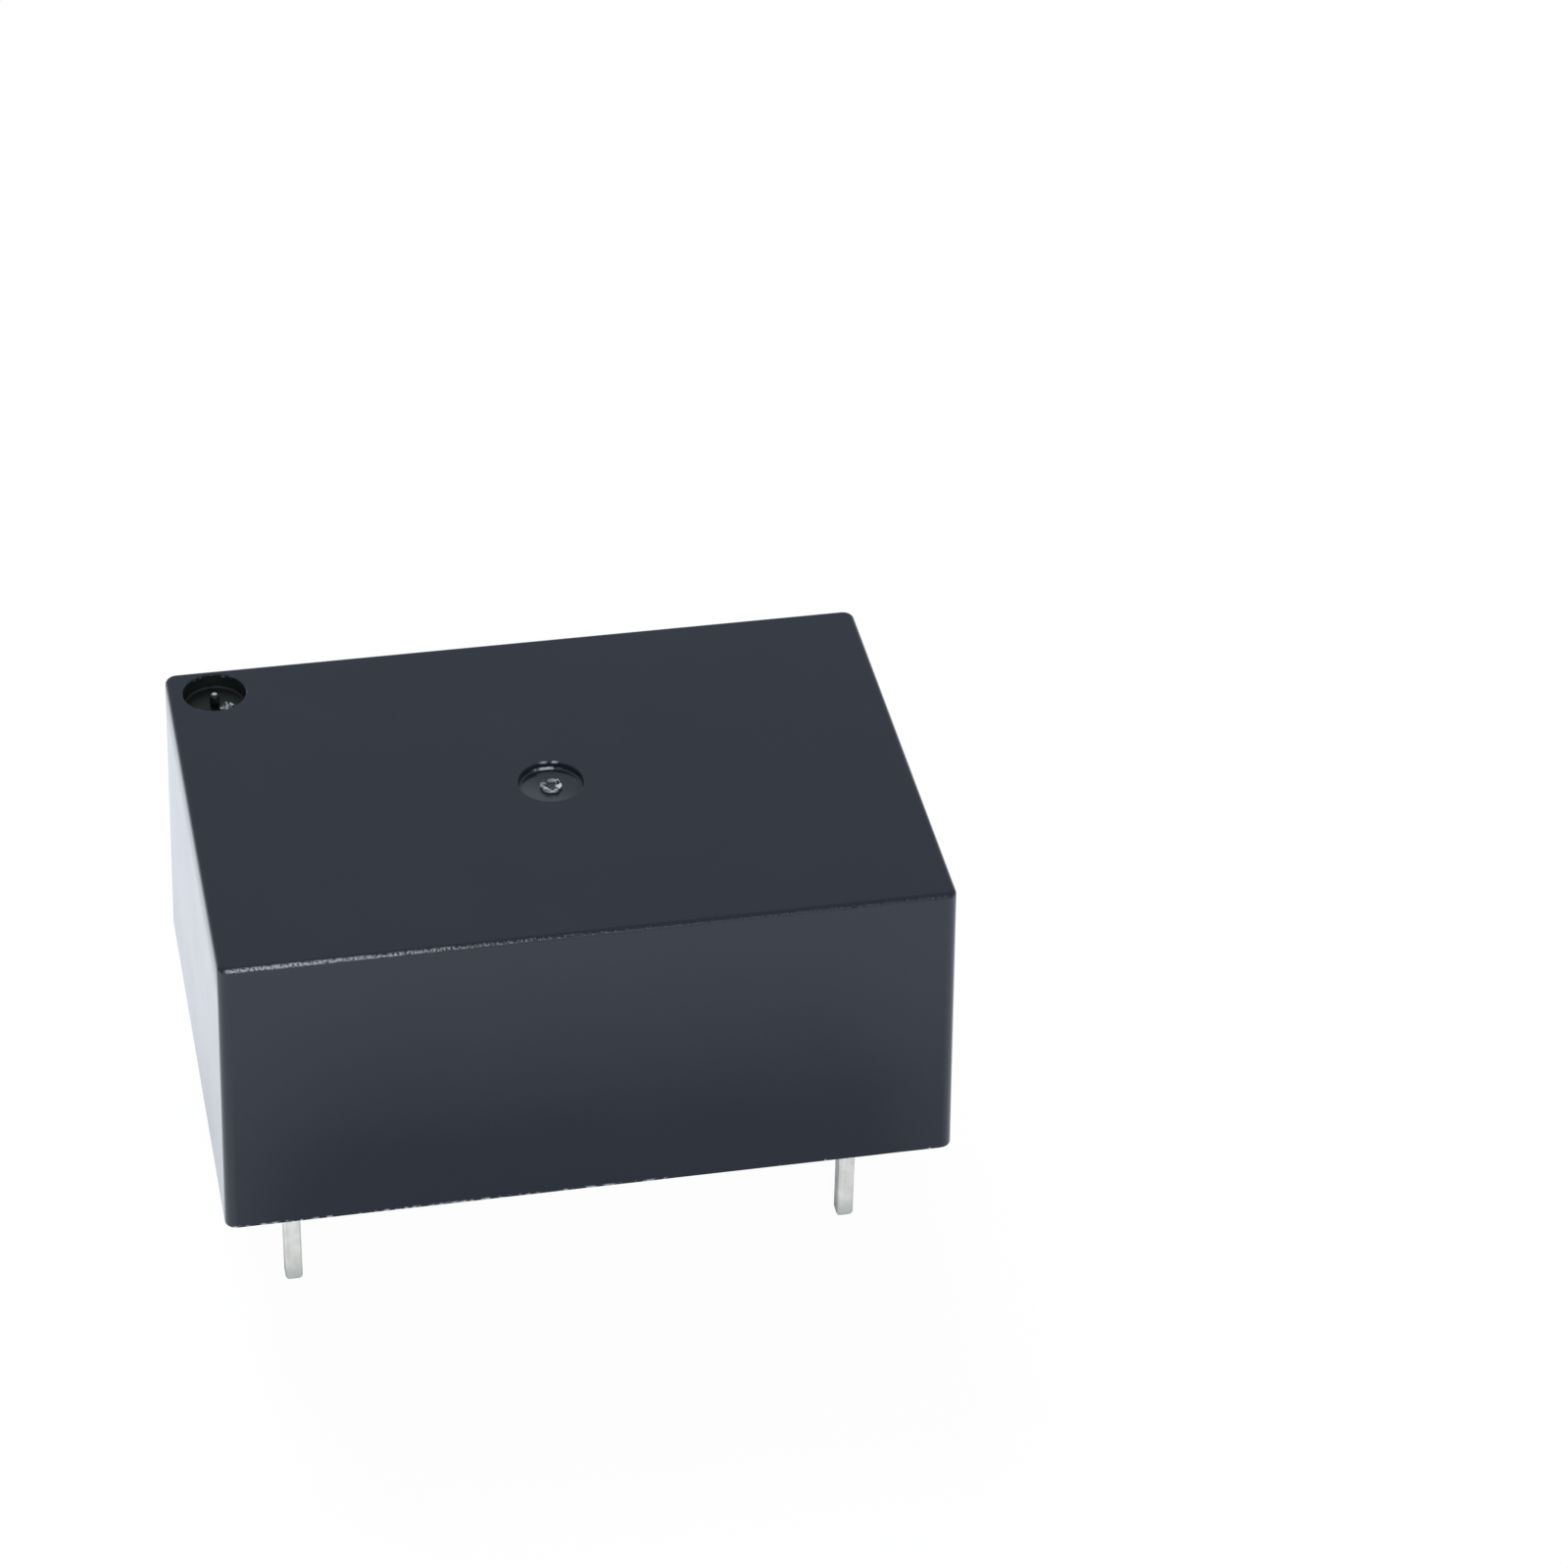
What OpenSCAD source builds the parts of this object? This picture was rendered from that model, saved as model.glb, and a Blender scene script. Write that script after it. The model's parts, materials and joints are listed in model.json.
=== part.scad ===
// Flat sealed printed-circuit-board power relay with one make contact and four solder pins.
// Frame: millimetres, +Z up, origin at the middle of the body on the board's surface.
// X runs along the body, the coil lies on the front side (-Y) and the contacts on the rear side (+Y).
// The relay is drawn at rest: coil without current, armature open, contacts apart.

/* [Cover] */
// Length of the cover at its rim
cover_l = 22.4; // [20:0.1:26]
// Width of the cover at its rim
cover_w = 15.6; // [14.4:0.1:18]
// Height of the cover from its rim to its top
cover_h = 9.7; // [8.8:0.1:12]
// Lean of each side wall from rim to top
cover_lean = 0.18; // [0:0.01:0.3]
// Thickness of the side walls
cover_wall = 0.8; // [0.6:0.05:1]
// Thickness of the top
cover_top = 0.9; // [0.8:0.05:1.2]
// Rounding of the upright corners
corner_r = 0.35; // [0.2:0.05:0.6]
// Rounding of the top edges
edge_r = 0.18; // [0.1:0.02:0.3]
// Height of the two standoff pads below the rim
pad_h = 0.3; // [0.1:0.05:0.6]
// Length of a standoff pad along the rim
pad_l = 1.6; // [1:0.1:3]
// Width of a standoff pad across the rim
pad_w = 0.6; // [0.4:0.05:0.8]

/* [Marks of the cover's top] */
// Diameter of the vent recess
vent_d = 1.95; // [1.5:0.05:2.4]
// Depth of the vent recess
vent_depth = 0.5; // [0.3:0.05:0.7]
// Distance of the vent recess from the left end
vent_inset_x = 1.62; // [1.4:0.01:2.5]
// Distance of the vent recess from the rear side
vent_inset_y = 1.42; // [1.3:0.01:2.5]
// Diameter of the vent nib
nib_d = 0.3; // [0.2:0.05:0.8]
// How far the vent nib stays below the top
nib_below = 0.05; // [0.05:0.05:0.25]
// Diameter of the moulding gate's dimple
gate_d = 2; // [1.4:0.1:3]
// Depth of the moulding gate's dimple
gate_depth = 0.25; // [0.1:0.05:0.4]
// Diameter of the broken sprue in a dimple
sprue_d = 0.75; // [0.4:0.05:1]
// Height of the broken sprue in a dimple
sprue_h = 0.17; // [0.05:0.01:0.25]

/* [Base] */
// Height of the base's floor above the rim
floor_h = 1.7; // [1.4:0.1:2.2]
// Thickness of the base's plate
base_t = 0.9; // [0.7:0.05:1.1]
// Gap between the base and the cover's walls
base_fit = 0.06; // [0.03:0.01:0.15]
// Depth of the base's panel behind the rim
panel_recess = 0.05; // [0:0.01:0.15]
// Distance of the panel's edge from the two ends
panel_inset_end = 2.1; // [1.8:0.05:2.6]
// Distance of the panel's edge from the front side
panel_inset_front = 2.3; // [1.9:0.05:2.8]
// Distance of the panel's edge from the rear side
panel_inset_rear = 1.9; // [1.6:0.05:2.4]
// Rounding of the panel's corners
panel_r = 0.45; // [0.2:0.05:0.8]
// Radius of the panel's notch around a pin
pin_notch_r = 1.65; // [1.3:0.05:2]
// Length of the panel's notch at the load pin
load_notch_l = 4.3; // [3.4:0.1:5]
// Depth of the panel's notch at the load pin
load_notch_w = 1.2; // [0.8:0.1:1.6]
// How far the notch at the load pin lies to the left of the pin
load_notch_shift = 0.9; // [0.5:0.1:1.2]
// Diameter of the gate dimple in the panel
panel_gate_d = 2.45; // [1.8:0.05:3]
// Depth of the gate dimple in the panel
panel_gate_depth = 0.35; // [0.2:0.05:0.5]
// Thickness of the barrier between coil and contacts
barrier_t = 0.6; // [0.4:0.05:0.8]
// Clearance between the barrier's end and the pusher
barrier_end_gap = 0.25; // [0.2:0.05:0.5]
// Clearance between the barrier and the cover's roof
barrier_gap = 0.5; // [0.2:0.1:1]
// Height of the guides that hold the contact terminals
guide_h = 0.9; // [0.5:0.1:1.4]
// Wall of the guides that hold the contact terminals
guide_wall = 0.5; // [0.35:0.05:0.7]

/* [Sealant] */
// Depth of the sealant's surface behind the rim
seal_recess = 0.15; // [0.05:0.05:0.4]
// Gap that keeps the sealant's solid clear of its neighbours
seal_fit = 0.02; // [0.01:0.01:0.05]
// Width of the open trenches along the panel
trench_w = 0.32; // [0.2:0.02:0.5]
// Length of the trench at the right end
trench_right_l = 5.3; // [4:0.1:7]
// Place of that trench across the width
trench_right_y = 1.2; // [-1:0.1:2]
// Length of the trench along the front side
trench_front_l = 10.2; // [8:0.1:12]
// Length of the three short trenches at the left end
trench_left_l = 0.8; // [0.5:0.05:1]
// Place of the three short trenches across the width
trench_left_y = 1.2; // [-1:0.1:2]
// Spacing of the three short trenches at the left end
trench_left_pitch = 1.35; // [1.2:0.05:2]
// Length of the short trench on the rear side
trench_rear_l = 1.3; // [0.8:0.1:2]

/* [Pins] */
// Length of the pins below the board's surface
pin_l = 3.6; // [2.5:0.1:5]
// Thickness of the square coil pins
coil_pin_t = 0.52; // [0.4:0.02:0.6]
// Distance of the coil pins from the front side
coil_row_inset = 2; // [1.8:0.05:2.3]
// Distance of the left coil pin from the left end
coil_inset_left = 2.15; // [1.95:0.05:2.4]
// Distance of the right coil pin from the right end
coil_inset_right = 2.9; // [2.6:0.05:3.2]
// Distance of the contact pins from the rear side
contact_row_inset = 1.4; // [1.3:0.05:1.6]
// Distance of the common pin from the left end
common_inset = 2.3; // [2:0.05:2.6]
// Spacing of the two contact pins
contact_pitch = 10.16; // [9.5:0.02:10.8]
// Width of a contact pin
contact_pin_w = 1.1; // [0.8:0.05:1.3]
// Thickness of the contact terminals' sheet
contact_sheet = 0.5; // [0.4:0.02:0.6]
// Length of the taper at a contact pin's tip
contact_tip_l = 0.45; // [0.2:0.05:0.8]
// How far each side of a contact pin's tip leans in
contact_tip_in = 0.12; // [0.05:0.01:0.18]
// Length of the taper at a coil pin's tip
coil_tip_l = 0.14; // [0.05:0.01:0.5]
// How far each side of a coil pin's tip leans in
coil_tip_in = 0.06; // [0.02:0.01:0.16]
// Gap between a pin and its slot in the base
pin_fit = 0.03; // [0.01:0.01:0.06]

/* [Coil] */
// Gap between the bobbin's flanges and the cover's roof
flange_headroom = 0.2; // [0.1:0.05:0.4]
// Thickness of the bobbin's flanges
flange_t = 0.9; // [0.8:0.05:1.1]
// Rounding of the flanges' corners
flange_r = 0.5; // [0.2:0.05:0.8]
// Gap between the front wall and the flanges
flange_gap = 0.25; // [0.1:0.05:0.4]
// Wall of the bobbin's tube
tube_wall = 0.45; // [0.35:0.05:0.6]
// Depth of the winding below the edges of the flanges
winding_below = 0.3; // [0.2:0.05:0.6]
// Thickness of the tape round the winding
tape_t = 0.08; // [0.05:0.01:0.12]
// Gap between the coil's nested round pieces
nest_fit = 0.03; // [0.02:0.01:0.05]
// Height of a coil terminal above the base's floor
post_h = 1.2; // [1:0.05:1.3]
// Height of the pocket in which a coil terminal is wrapped
pocket_h = 1.4; // [1.3:0.1:1.8]
// Diameter of the magnet wire's leads
lead_d = 0.14; // [0.1:0.01:0.2]
// Angle through which a lead turns onto the winding
lead_turn = 15; // [10:1:20]
// Diameter of a solder joint at its foot
solder_d = 1; // [0.9:0.05:1.1]
// Diameter of a solder joint at its top
solder_top_d = 0.8; // [0.78:0.02:0.9]
// Height of a solder joint
solder_h = 0.6; // [0.4:0.05:0.8]

/* [Magnet] */
// Diameter of the iron core
core_d = 3.2; // [2.8:0.1:3.6]
// Diameter of the core's pole head
pole_d = 4.8; // [4.2:0.1:5.4]
// Thickness of the core's pole head
pole_t = 0.6; // [0.4:0.05:0.7]
// Diameter of the core's riveted end
stake_d = 2.2; // [1.8:0.1:2.6]
// How far the pole stands out of the bobbin
pole_proud = 0.06; // [0.03:0.01:0.1]
// Thickness of the yoke
yoke_t = 1; // [0.8:0.05:1.1]
// Gap between the yoke and the cover's roof
yoke_headroom = 0.7; // [0.4:0.05:1]
// Gap between the yoke and the bobbin's flanges
yoke_gap = 0.2; // [0.1:0.05:0.3]
// Gap between the magnet and the cover's end walls
end_gap = 0.12; // [0.08:0.01:0.2]
// Gap between the yoke's short leg and the left solder joint
yoke_leg_gap = 0.11; // [0.05:0.01:0.4]

/* [Armature] */
// Thickness of the armature
arm_t = 0.8; // [0.7:0.05:0.9]
// Length of the armature's pole leg
arm_l = 6.9; // [6.4:0.1:7.1]
// Height of the armature's pole leg
arm_h = 5.6; // [5:0.1:5.8]
// Opening angle of the armature at rest
open_deg = 4.6; // [3.8:0.1:4.8]
// Gap between the armature and the yoke's edge
seat_gap = 0.02; // [0.01:0.01:0.04]
// Gap between the armature's rear leg and the yoke
leg_gap = 0.2; // [0.15:0.05:0.3]
// Height of the armature's rear leg
leg_h = 2.4; // [2:0.1:2.8]
// Distance of the pusher's nose from the contacts
nose_offset = 1.78; // [1.6:0.02:2]
// How far the pusher's nose stands out of the armature's rear leg
nose_reach = 1.45; // [1.3:0.05:1.7]
// Wall of the pusher round the armature's leg
pusher_wall = 0.5; // [0.4:0.05:0.6]
// Length of the pusher
pusher_l = 2.1; // [1.8:0.1:2.4]
// Length of the armature's rear leg past the pusher's nose
leg_past_nose = 0.2; // [0.1:0.05:0.4]
// Diameter of the pusher's nose
nose_d = 0.8; // [0.6:0.05:1]
// Height of the pusher's nose
nose_h = 1.8; // [1.4:0.1:2.2]
// Gap between the pusher's nose and the contact spring
nose_gap = 0.06; // [0.03:0.01:0.1]
// Thickness of the hinge spring
hinge_t = 0.12; // [0.1:0.01:0.16]
// Width of the hinge spring
hinge_w = 1.2; // [0.9:0.1:1.4]
// Length of the hinge spring along the yoke
hinge_l = 9; // [7:0.5:11]
// Length of the hinge spring's lip on the armature
hinge_lip = 1.8; // [1.4:0.1:2.4]
// Spacing of the two stakes that hold the hinge spring
hinge_stake_pitch = 1.6; // [1.2:0.1:2.2]
// Diameter of the two stakes that hold the hinge spring
hinge_stake_d = 0.6; // [0.4:0.05:0.8]

/* [Contacts] */
// Open gap between the contacts
contact_gap = 0.38; // [0.37:0.01:0.5]
// Diameter of the contact heads
head_d = 2.2; // [1.8:0.1:2.4]
// Height of the fixed contact's head
fixed_head_h = 0.55; // [0.4:0.05:0.7]
// Height of the moving contact's head
moving_head_h = 0.55; // [0.45:0.05:0.7]
// Radius of the moving contact's crown
crown_r = 5; // [4:0.5:8]
// Diameter of the contacts' shanks
shank_d = 1; // [0.8:0.05:1.2]
// Diameter of the contacts' riveted tails
tail_d = 1.5; // [1.3:0.05:1.8]
// Height of the contacts' riveted tails
tail_h = 0.14; // [0.1:0.01:0.18]
// Height of the contacts above the base's floor
contact_h = 3.4; // [3:0.1:3.8]
// Thickness of the contact spring
blade_t = 0.15; // [0.1:0.01:0.2]
// Width of the contact spring at its root
blade_root_w = 4; // [3.6:0.1:4.4]
// Width of the contact spring at its tip
blade_tip_w = 3; // [2.6:0.1:3.4]
// Length of the contact spring past the pusher's nose
blade_over = 0.6; // [0.5:0.05:1]
// Length of the spring's seat on the common terminal
seat_l = 1.7; // [1.4:0.1:2]
// Distance of the spring's end from the seat's bend
seat_margin = 0.1; // [0.05:0.05:0.3]
// Height of the contact terminals' plates
plate_h = 5.7; // [5.2:0.1:6.2]
// Width of the load terminal's plate
load_plate_w = 3.6; // [3:0.1:4]
// Width of the common terminal's foot
common_foot_w = 1.8; // [1.5:0.1:2]
// Length of the common terminal's slanted stretch
common_slant = 0.9; // [0.7:0.1:1.2]
// Diameter of the spring rivets' shanks
rivet_d = 0.6; // [0.45:0.05:0.7]
// Diameter of the spring rivets' heads
rivet_head_d = 1.05; // [0.9:0.05:1.2]
// Height of the spring rivets' heads
rivet_head_h = 0.25; // [0.15:0.05:0.3]
// Spacing of the two spring rivets
rivet_pitch = 2.2; // [1.8:0.1:2.6]

/* [Hidden] */
$fn = 48;

// Small overlap that lets one cut run clean through another
through = 0.2;
// Thickness of the slices that a drafted block is lofted from
slice_t = 0.01;
// Diameter of the rounding at a lead's bend, in diameters of the wire
lead_bend = 1.2;
// Steps of a rounded corner and of a rounded edge
corner_steps = 8;
edge_steps = 5;

// Heights
rim_z = pad_h;
top_z = rim_z + cover_h;
roof_z = top_z - cover_top;
floor_z = rim_z + floor_h;
plate_z = floor_z - base_t;
panel_z = rim_z + panel_recess;
seal_z = rim_z + seal_recess;
tip_z = -pin_l;

// The drafted cavity of the cover at a given height
function lean_at(z) = cover_lean * (z - rim_z) / cover_h;
function cavity_half_l(z) = cover_l / 2 - cover_wall - lean_at(z);
function cavity_half_w(z) = cover_w / 2 - cover_wall - lean_at(z);

// Places of the pins
coil_y = -cover_w / 2 + coil_row_inset;
coil_left_x = -cover_l / 2 + coil_inset_left;
coil_right_x = cover_l / 2 - coil_inset_right;
contact_y = cover_w / 2 - contact_row_inset;
common_x = -cover_l / 2 + common_inset;
load_x = common_x + contact_pitch;
coil_pins = [[coil_left_x, coil_y], [coil_right_x, coil_y]];
contact_pins = [[common_x, contact_y], [load_x, contact_y]];

// Contacts, set out from the contact pins towards the coil
plate_y0 = contact_y - contact_sheet / 2;
plate_y1 = contact_y + contact_sheet / 2;
fixed_y = plate_y0 - fixed_head_h;
blade_y1 = fixed_y - contact_gap - moving_head_h;
blade_y0 = blade_y1 - blade_t;
contact_z = floor_z + contact_h;
seat_y = blade_y1 + contact_sheet / 2;
slant_x0 = common_x + common_foot_w / 2;
slant_x1 = slant_x0 + common_slant;
seat_x1 = slant_x1 + seat_l;
blade_x0 = slant_x1 + seat_margin;
nose_x = load_x + nose_offset;
nose_y = blade_y0 - nose_gap;
blade_x1 = nose_x + blade_over;
rivet_x = (blade_x0 + seat_x1) / 2;

// Yoke, behind the armature's rear leg that carries the pusher's nose
leg_y1 = nose_y - nose_reach;
leg_y0 = leg_y1 - arm_t;
yoke_y1 = leg_y0 - leg_gap;
yoke_y0 = yoke_y1 - yoke_t;
yoke_x0 = -cavity_half_l(roof_z) + end_gap;
yoke_h = roof_z - floor_z - yoke_headroom;
yoke_leg_y = coil_y + solder_d / 2 + yoke_leg_gap;
pole_x = cavity_half_l(roof_z) - end_gap - seat_gap - arm_t - arm_l * sin(open_deg);

// Coil, which fills the room between the yoke, the front wall and the roof
flange_y0 = -cavity_half_w(roof_z) + flange_gap;
flange_y1 = yoke_y0 - yoke_gap;
flange_w = flange_y1 - flange_y0;
flange_h = roof_z - floor_z - flange_headroom;
flange_left_x = yoke_x0 + yoke_t;
flange_right_x = pole_x - pole_proud;
axis_y = flange_y0 + flange_w / 2;
axis_z = floor_z + flange_h / 2;
tube_r = core_d / 2 + nest_fit + tube_wall;
winding_d = min(flange_w, flange_h) - 2 * winding_below;
winding_x0 = flange_left_x + flange_t;
winding_l = flange_right_x - flange_t - winding_x0;
pocket_z = floor_z + post_h - pocket_h / 2;
lead_z = floor_z + post_h - lead_d;
solder_z = floor_z + post_h - solder_h;

// Armature: unit vectors along and across its open pole leg, from the yoke's rear edge
hinge = [pole_x, yoke_y1];
leg_dir = [sin(open_deg), -cos(open_deg)];
leg_out = [cos(open_deg), sin(open_deg)];
heel = hinge + leg_out * seat_gap;
elbow = heel - leg_dir * (leg_y0 - heel[1]) / cos(open_deg);
leg_end_x = nose_x - nose_d / 2 - leg_past_nose;
pusher_x0 = leg_end_x - pusher_wall;
hinge_z = axis_z + arm_h / 2 - hinge_w / 2;

// Barrier of the base, between the yoke and the contact spring
barrier_y = (yoke_y1 + blade_y0) / 2 - barrier_t / 2;
barrier_x0 = -cavity_half_l(roof_z) + end_gap;
barrier_x1 = pusher_x0 - barrier_end_gap;

// Points of an arc round c, from angle a to angle b
function arc(c, r, a, b, steps) = [
    for (i = [0:steps]) c + r * [cos(a + (b - a) * i / steps), sin(a + (b - a) * i / steps)]
];

// Outline of a rectangle with rounded corners, centred on the origin
function round_rect(l, w, r) = [
    for (k = [0:3])
        each arc([(k == 0 || k == 3 ? 1 : -1) * (l / 2 - r), (k < 2 ? 1 : -1) * (w / 2 - r)],
                 r, 90 * k, 90 * k + 90, corner_steps)
];

// Unit normal on the left of the way from a to b
function left_of(a, b) = [a[1] - b[1], b[0] - a[0]] / norm(b - a);

// Offset of point i of a bent strip, mitred between its two stretches
function mitre(path, i) =
    let (n0 = left_of(path[max(i - 1, 0)], path[max(i, 1)]))
    let (n1 = left_of(path[min(i, len(path) - 2)], path[min(i + 1, len(path) - 1)]))
    (n0 + n1) / (1 + n0 * n1);

// Outline of sheet metal of thickness t that is bent along a path in plan
function strip(path, t) = concat(
    [for (i = [0:len(path) - 1]) path[i] + mitre(path, i) * t / 2],
    [for (i = [len(path) - 1:-1:0]) path[i] - mitre(path, i) * t / 2]
);

// A plan outline raised from z0 to z1
module upright(z0, z1) {
    translate([0, 0, z0])
        linear_extrude(z1 - z0)
            children();
}

// An outline in Y and Z, drawn out from x0 to x1
module along_x(x0, x1) {
    translate([x0, 0, 0])
        rotate([90, 0, 90])
            linear_extrude(x1 - x0)
                children();
}

// An outline in X and Z, drawn out from y0 to y1
module along_y(y0, y1) {
    translate([0, y1, 0])
        rotate([90, 0, 0])
            linear_extrude(y1 - y0)
                children();
}

// Round bar along X
module bar_x(x0, x1, d) {
    translate([x0, 0, 0])
        rotate([0, 90, 0])
            cylinder(h = x1 - x0, d = d);
}

// Round bar along Y
module bar_y(y0, y1, d) {
    translate([0, y0, 0])
        rotate([-90, 0, 0])
            cylinder(h = y1 - y0, d = d);
}

// Round rod between two points
module rod(a, b, d) {
    v = b - a;
    translate(a)
        rotate([0, acos(v[2] / norm(v)), atan2(v[1], v[0])])
            cylinder(h = norm(v), d = d, $fn = 24);
}

// Thin slice of a drafted block
module slice(l, w, r, z) {
    translate([0, 0, z])
        linear_extrude(slice_t)
            polygon(round_rect(l, w, r));
}

// Block whose walls lean in towards the top, with a rounded top edge of radius r
module drafted_block(l, w, z0, z1, lean, corner, r) {
    hull() {
        slice(l, w, corner, z0);
        for (i = [0:edge_steps])
            let (a = 90 * i / edge_steps, inset = lean + r * (1 - cos(a)))
                slice(l - 2 * inset, w - 2 * inset, corner, z1 - slice_t - r * (1 - sin(a)));
    }
}

// Side view of a straight pin of width w, from its tapered tip up to z1
module pin_side(w, z1, tip_l, tip_in) {
    polygon([[-w / 2, z1], [-w / 2, tip_z + tip_l], [tip_in - w / 2, tip_z],
             [w / 2 - tip_in, tip_z], [w / 2, tip_z + tip_l], [w / 2, z1]]);
}

// Straight pin, w wide in X and t thick in Y, from its tapered tip up to z1
module pin(w, t, z1, tip_l, tip_in) {
    intersection() {
        along_y(-t / 2, t / 2)
            pin_side(w, z1, tip_l, tip_in);
        along_x(-w / 2, w / 2)
            pin_side(t, z1, tip_l, tip_in);
    }
}

// Plan of the four pins, grown by a gap
module pin_holes(gap) {
    for (p = coil_pins)
        translate(p)
            square(coil_pin_t + 2 * gap, center = true);
    for (p = contact_pins)
        translate(p)
            square([contact_pin_w + 2 * gap, contact_sheet + 2 * gap], center = true);
}

// Dimple of a moulding gate, cut into a face that looks along +Z
module gate_dimple(d, depth) {
    translate([0, 0, -depth])
        cylinder(h = depth + through, d = d);
}

// Stump of the sprue on a dimple's floor
module sprue(depth) {
    translate([0, 0, -depth])
        cylinder(h = sprue_h, d1 = sprue_d, d2 = sprue_d - sprue_h);
}

module cover() {
    vent = [-cover_l / 2 + vent_inset_x, cover_w / 2 - vent_inset_y];
    color("#30343b") {
        difference() {
            drafted_block(cover_l, cover_w, rim_z, top_z, cover_lean, corner_r, edge_r);
            // Cavity
            drafted_block(2 * cavity_half_l(rim_z - through), 2 * cavity_half_w(rim_z - through),
                          rim_z - through, roof_z, lean_at(roof_z) + lean_at(rim_z + through),
                          corner_r, edge_r);
            translate([0, 0, top_z])
                gate_dimple(gate_d, gate_depth);
            translate([vent[0], vent[1], top_z])
                gate_dimple(vent_d, vent_depth);
        }
        translate([0, 0, top_z])
            sprue(gate_depth);
        // Vent nib
        translate([vent[0], vent[1], top_z - vent_depth - slice_t])
            cylinder(h = vent_depth - nib_below + slice_t, d = nib_d);
        // Standoff pads in the middle of the short rims
        for (side = [-1, 1])
            translate([side * (cover_l - cover_wall) / 2, 0, pad_h / 2 + slice_t / 2])
                cube([pad_w, pad_l, pad_h + slice_t], center = true);
    }
}

// Outline of the base's panel, with notches that leave the sealant room round the pins
module panel_outline(grow) {
    panel_l = cover_l - 2 * panel_inset_end;
    panel_w = cover_w - panel_inset_front - panel_inset_rear;
    difference() {
        translate([0, (panel_inset_front - panel_inset_rear) / 2])
            polygon(round_rect(panel_l + 2 * grow, panel_w + 2 * grow, panel_r));
        for (p = [coil_pins[0], coil_pins[1], contact_pins[0]])
            translate(p)
                circle(r = pin_notch_r - grow);
        translate([load_x - load_notch_shift, cover_w / 2 - panel_inset_rear])
            polygon(round_rect(load_notch_l - 2 * grow, 2 * load_notch_w - 2 * grow, panel_r));
    }
}

// Guide that stands on the floor round a contact terminal's plate
module terminal_guide(x0, x1) {
    translate([x0 - guide_wall, contact_y - contact_sheet / 2 - guide_wall, floor_z])
        cube([x1 - x0 + 2 * guide_wall, contact_sheet + guide_wall, guide_h]);
}

module base() {
    foot_x0 = common_x - common_foot_w / 2;
    color("#3a424a")
        difference() {
            union() {
                upright(plate_z, floor_z)
                    polygon(round_rect(2 * (cavity_half_l(floor_z) - base_fit),
                                       2 * (cavity_half_w(floor_z) - base_fit), corner_r));
                upright(panel_z, plate_z + slice_t)
                    panel_outline(0);
                // Barrier between the coil's side and the contacts' side
                translate([barrier_x0, barrier_y, floor_z - slice_t])
                    cube([barrier_x1 - barrier_x0, barrier_t, roof_z - barrier_gap - floor_z]);
                terminal_guide(foot_x0, common_x);
                terminal_guide(load_x - load_plate_w / 2, load_x + load_plate_w / 2);
            }
            upright(panel_z - through, floor_z + through)
                pin_holes(pin_fit);
            // Slots of the guides
            upright(floor_z, floor_z + guide_h + through) {
                common_plan(pin_fit);
                load_plan(pin_fit);
            }
            translate([0, 0, panel_z])
                mirror([0, 0, 1])
                    difference() {
                        gate_dimple(panel_gate_d, panel_gate_depth);
                        sprue(panel_gate_depth);
                    }
        }
}

// Open trenches in the sealant along the panel's edges
module trenches() {
    right_x = cover_l / 2 - panel_inset_end;
    front_y = -cover_w / 2 + panel_inset_front;
    rear_y = cover_w / 2 - panel_inset_rear;
    translate([right_x, trench_right_y - trench_right_l / 2])
        square([trench_w, trench_right_l]);
    translate([-trench_front_l / 2, front_y - trench_w])
        square([trench_front_l, trench_w]);
    for (k = [0:2])
        translate([-right_x - trench_w, trench_left_y + (k - 1) * trench_left_pitch - trench_left_l / 2])
            square([trench_w, trench_left_l]);
    translate([(common_x + load_x) / 2 - trench_rear_l / 2, rear_y])
        square([trench_rear_l, trench_w]);
}

module sealant() {
    color("#1c1d1f")
        upright(seal_z, plate_z)
            difference() {
                polygon(round_rect(2 * (cavity_half_l(plate_z) - seal_fit),
                                   2 * (cavity_half_w(plate_z) - seal_fit), corner_r));
                panel_outline(seal_fit);
                pin_holes(seal_fit);
                trenches();
            }
}

// Flange outline in Y and Z
module flange_outline() {
    translate([axis_y, axis_z])
        polygon(round_rect(flange_w, flange_h, flange_r));
}

// Groove and wrapping pocket for a coil terminal in the lower front corner of a flange
module terminal_pocket(x, side) {
    groove = coil_pin_t + 2 * pin_fit;
    translate([x - groove / 2, coil_y - groove / 2, floor_z - through])
        cube([groove, groove, pocket_z - floor_z + 2 * through]);
    translate([x + min(side, 0) * flange_t, coil_y - groove / 2, floor_z - through])
        cube([flange_t, groove, pocket_z - floor_z + 2 * through]);
    translate([x - flange_t, flange_y0 - through, pocket_z])
        cube([2 * flange_t, coil_y + solder_d - flange_y0 + through, pocket_h]);
}

module bobbin() {
    color("#e7e2d4")
        difference() {
            union() {
                along_x(flange_left_x, flange_left_x + flange_t)
                    flange_outline();
                along_x(flange_right_x - flange_t, flange_right_x)
                    flange_outline();
                translate([0, axis_y, axis_z])
                    bar_x(flange_left_x, flange_right_x, 2 * tube_r);
            }
            translate([0, axis_y, axis_z]) {
                bar_x(flange_left_x - through, flange_right_x + through, core_d + 2 * nest_fit);
                bar_x(pole_x - pole_t - nest_fit, flange_right_x + through, pole_d + 2 * nest_fit);
            }
            terminal_pocket(coil_left_x, -1);
            terminal_pocket(coil_right_x, 1);
        }
}

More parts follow.
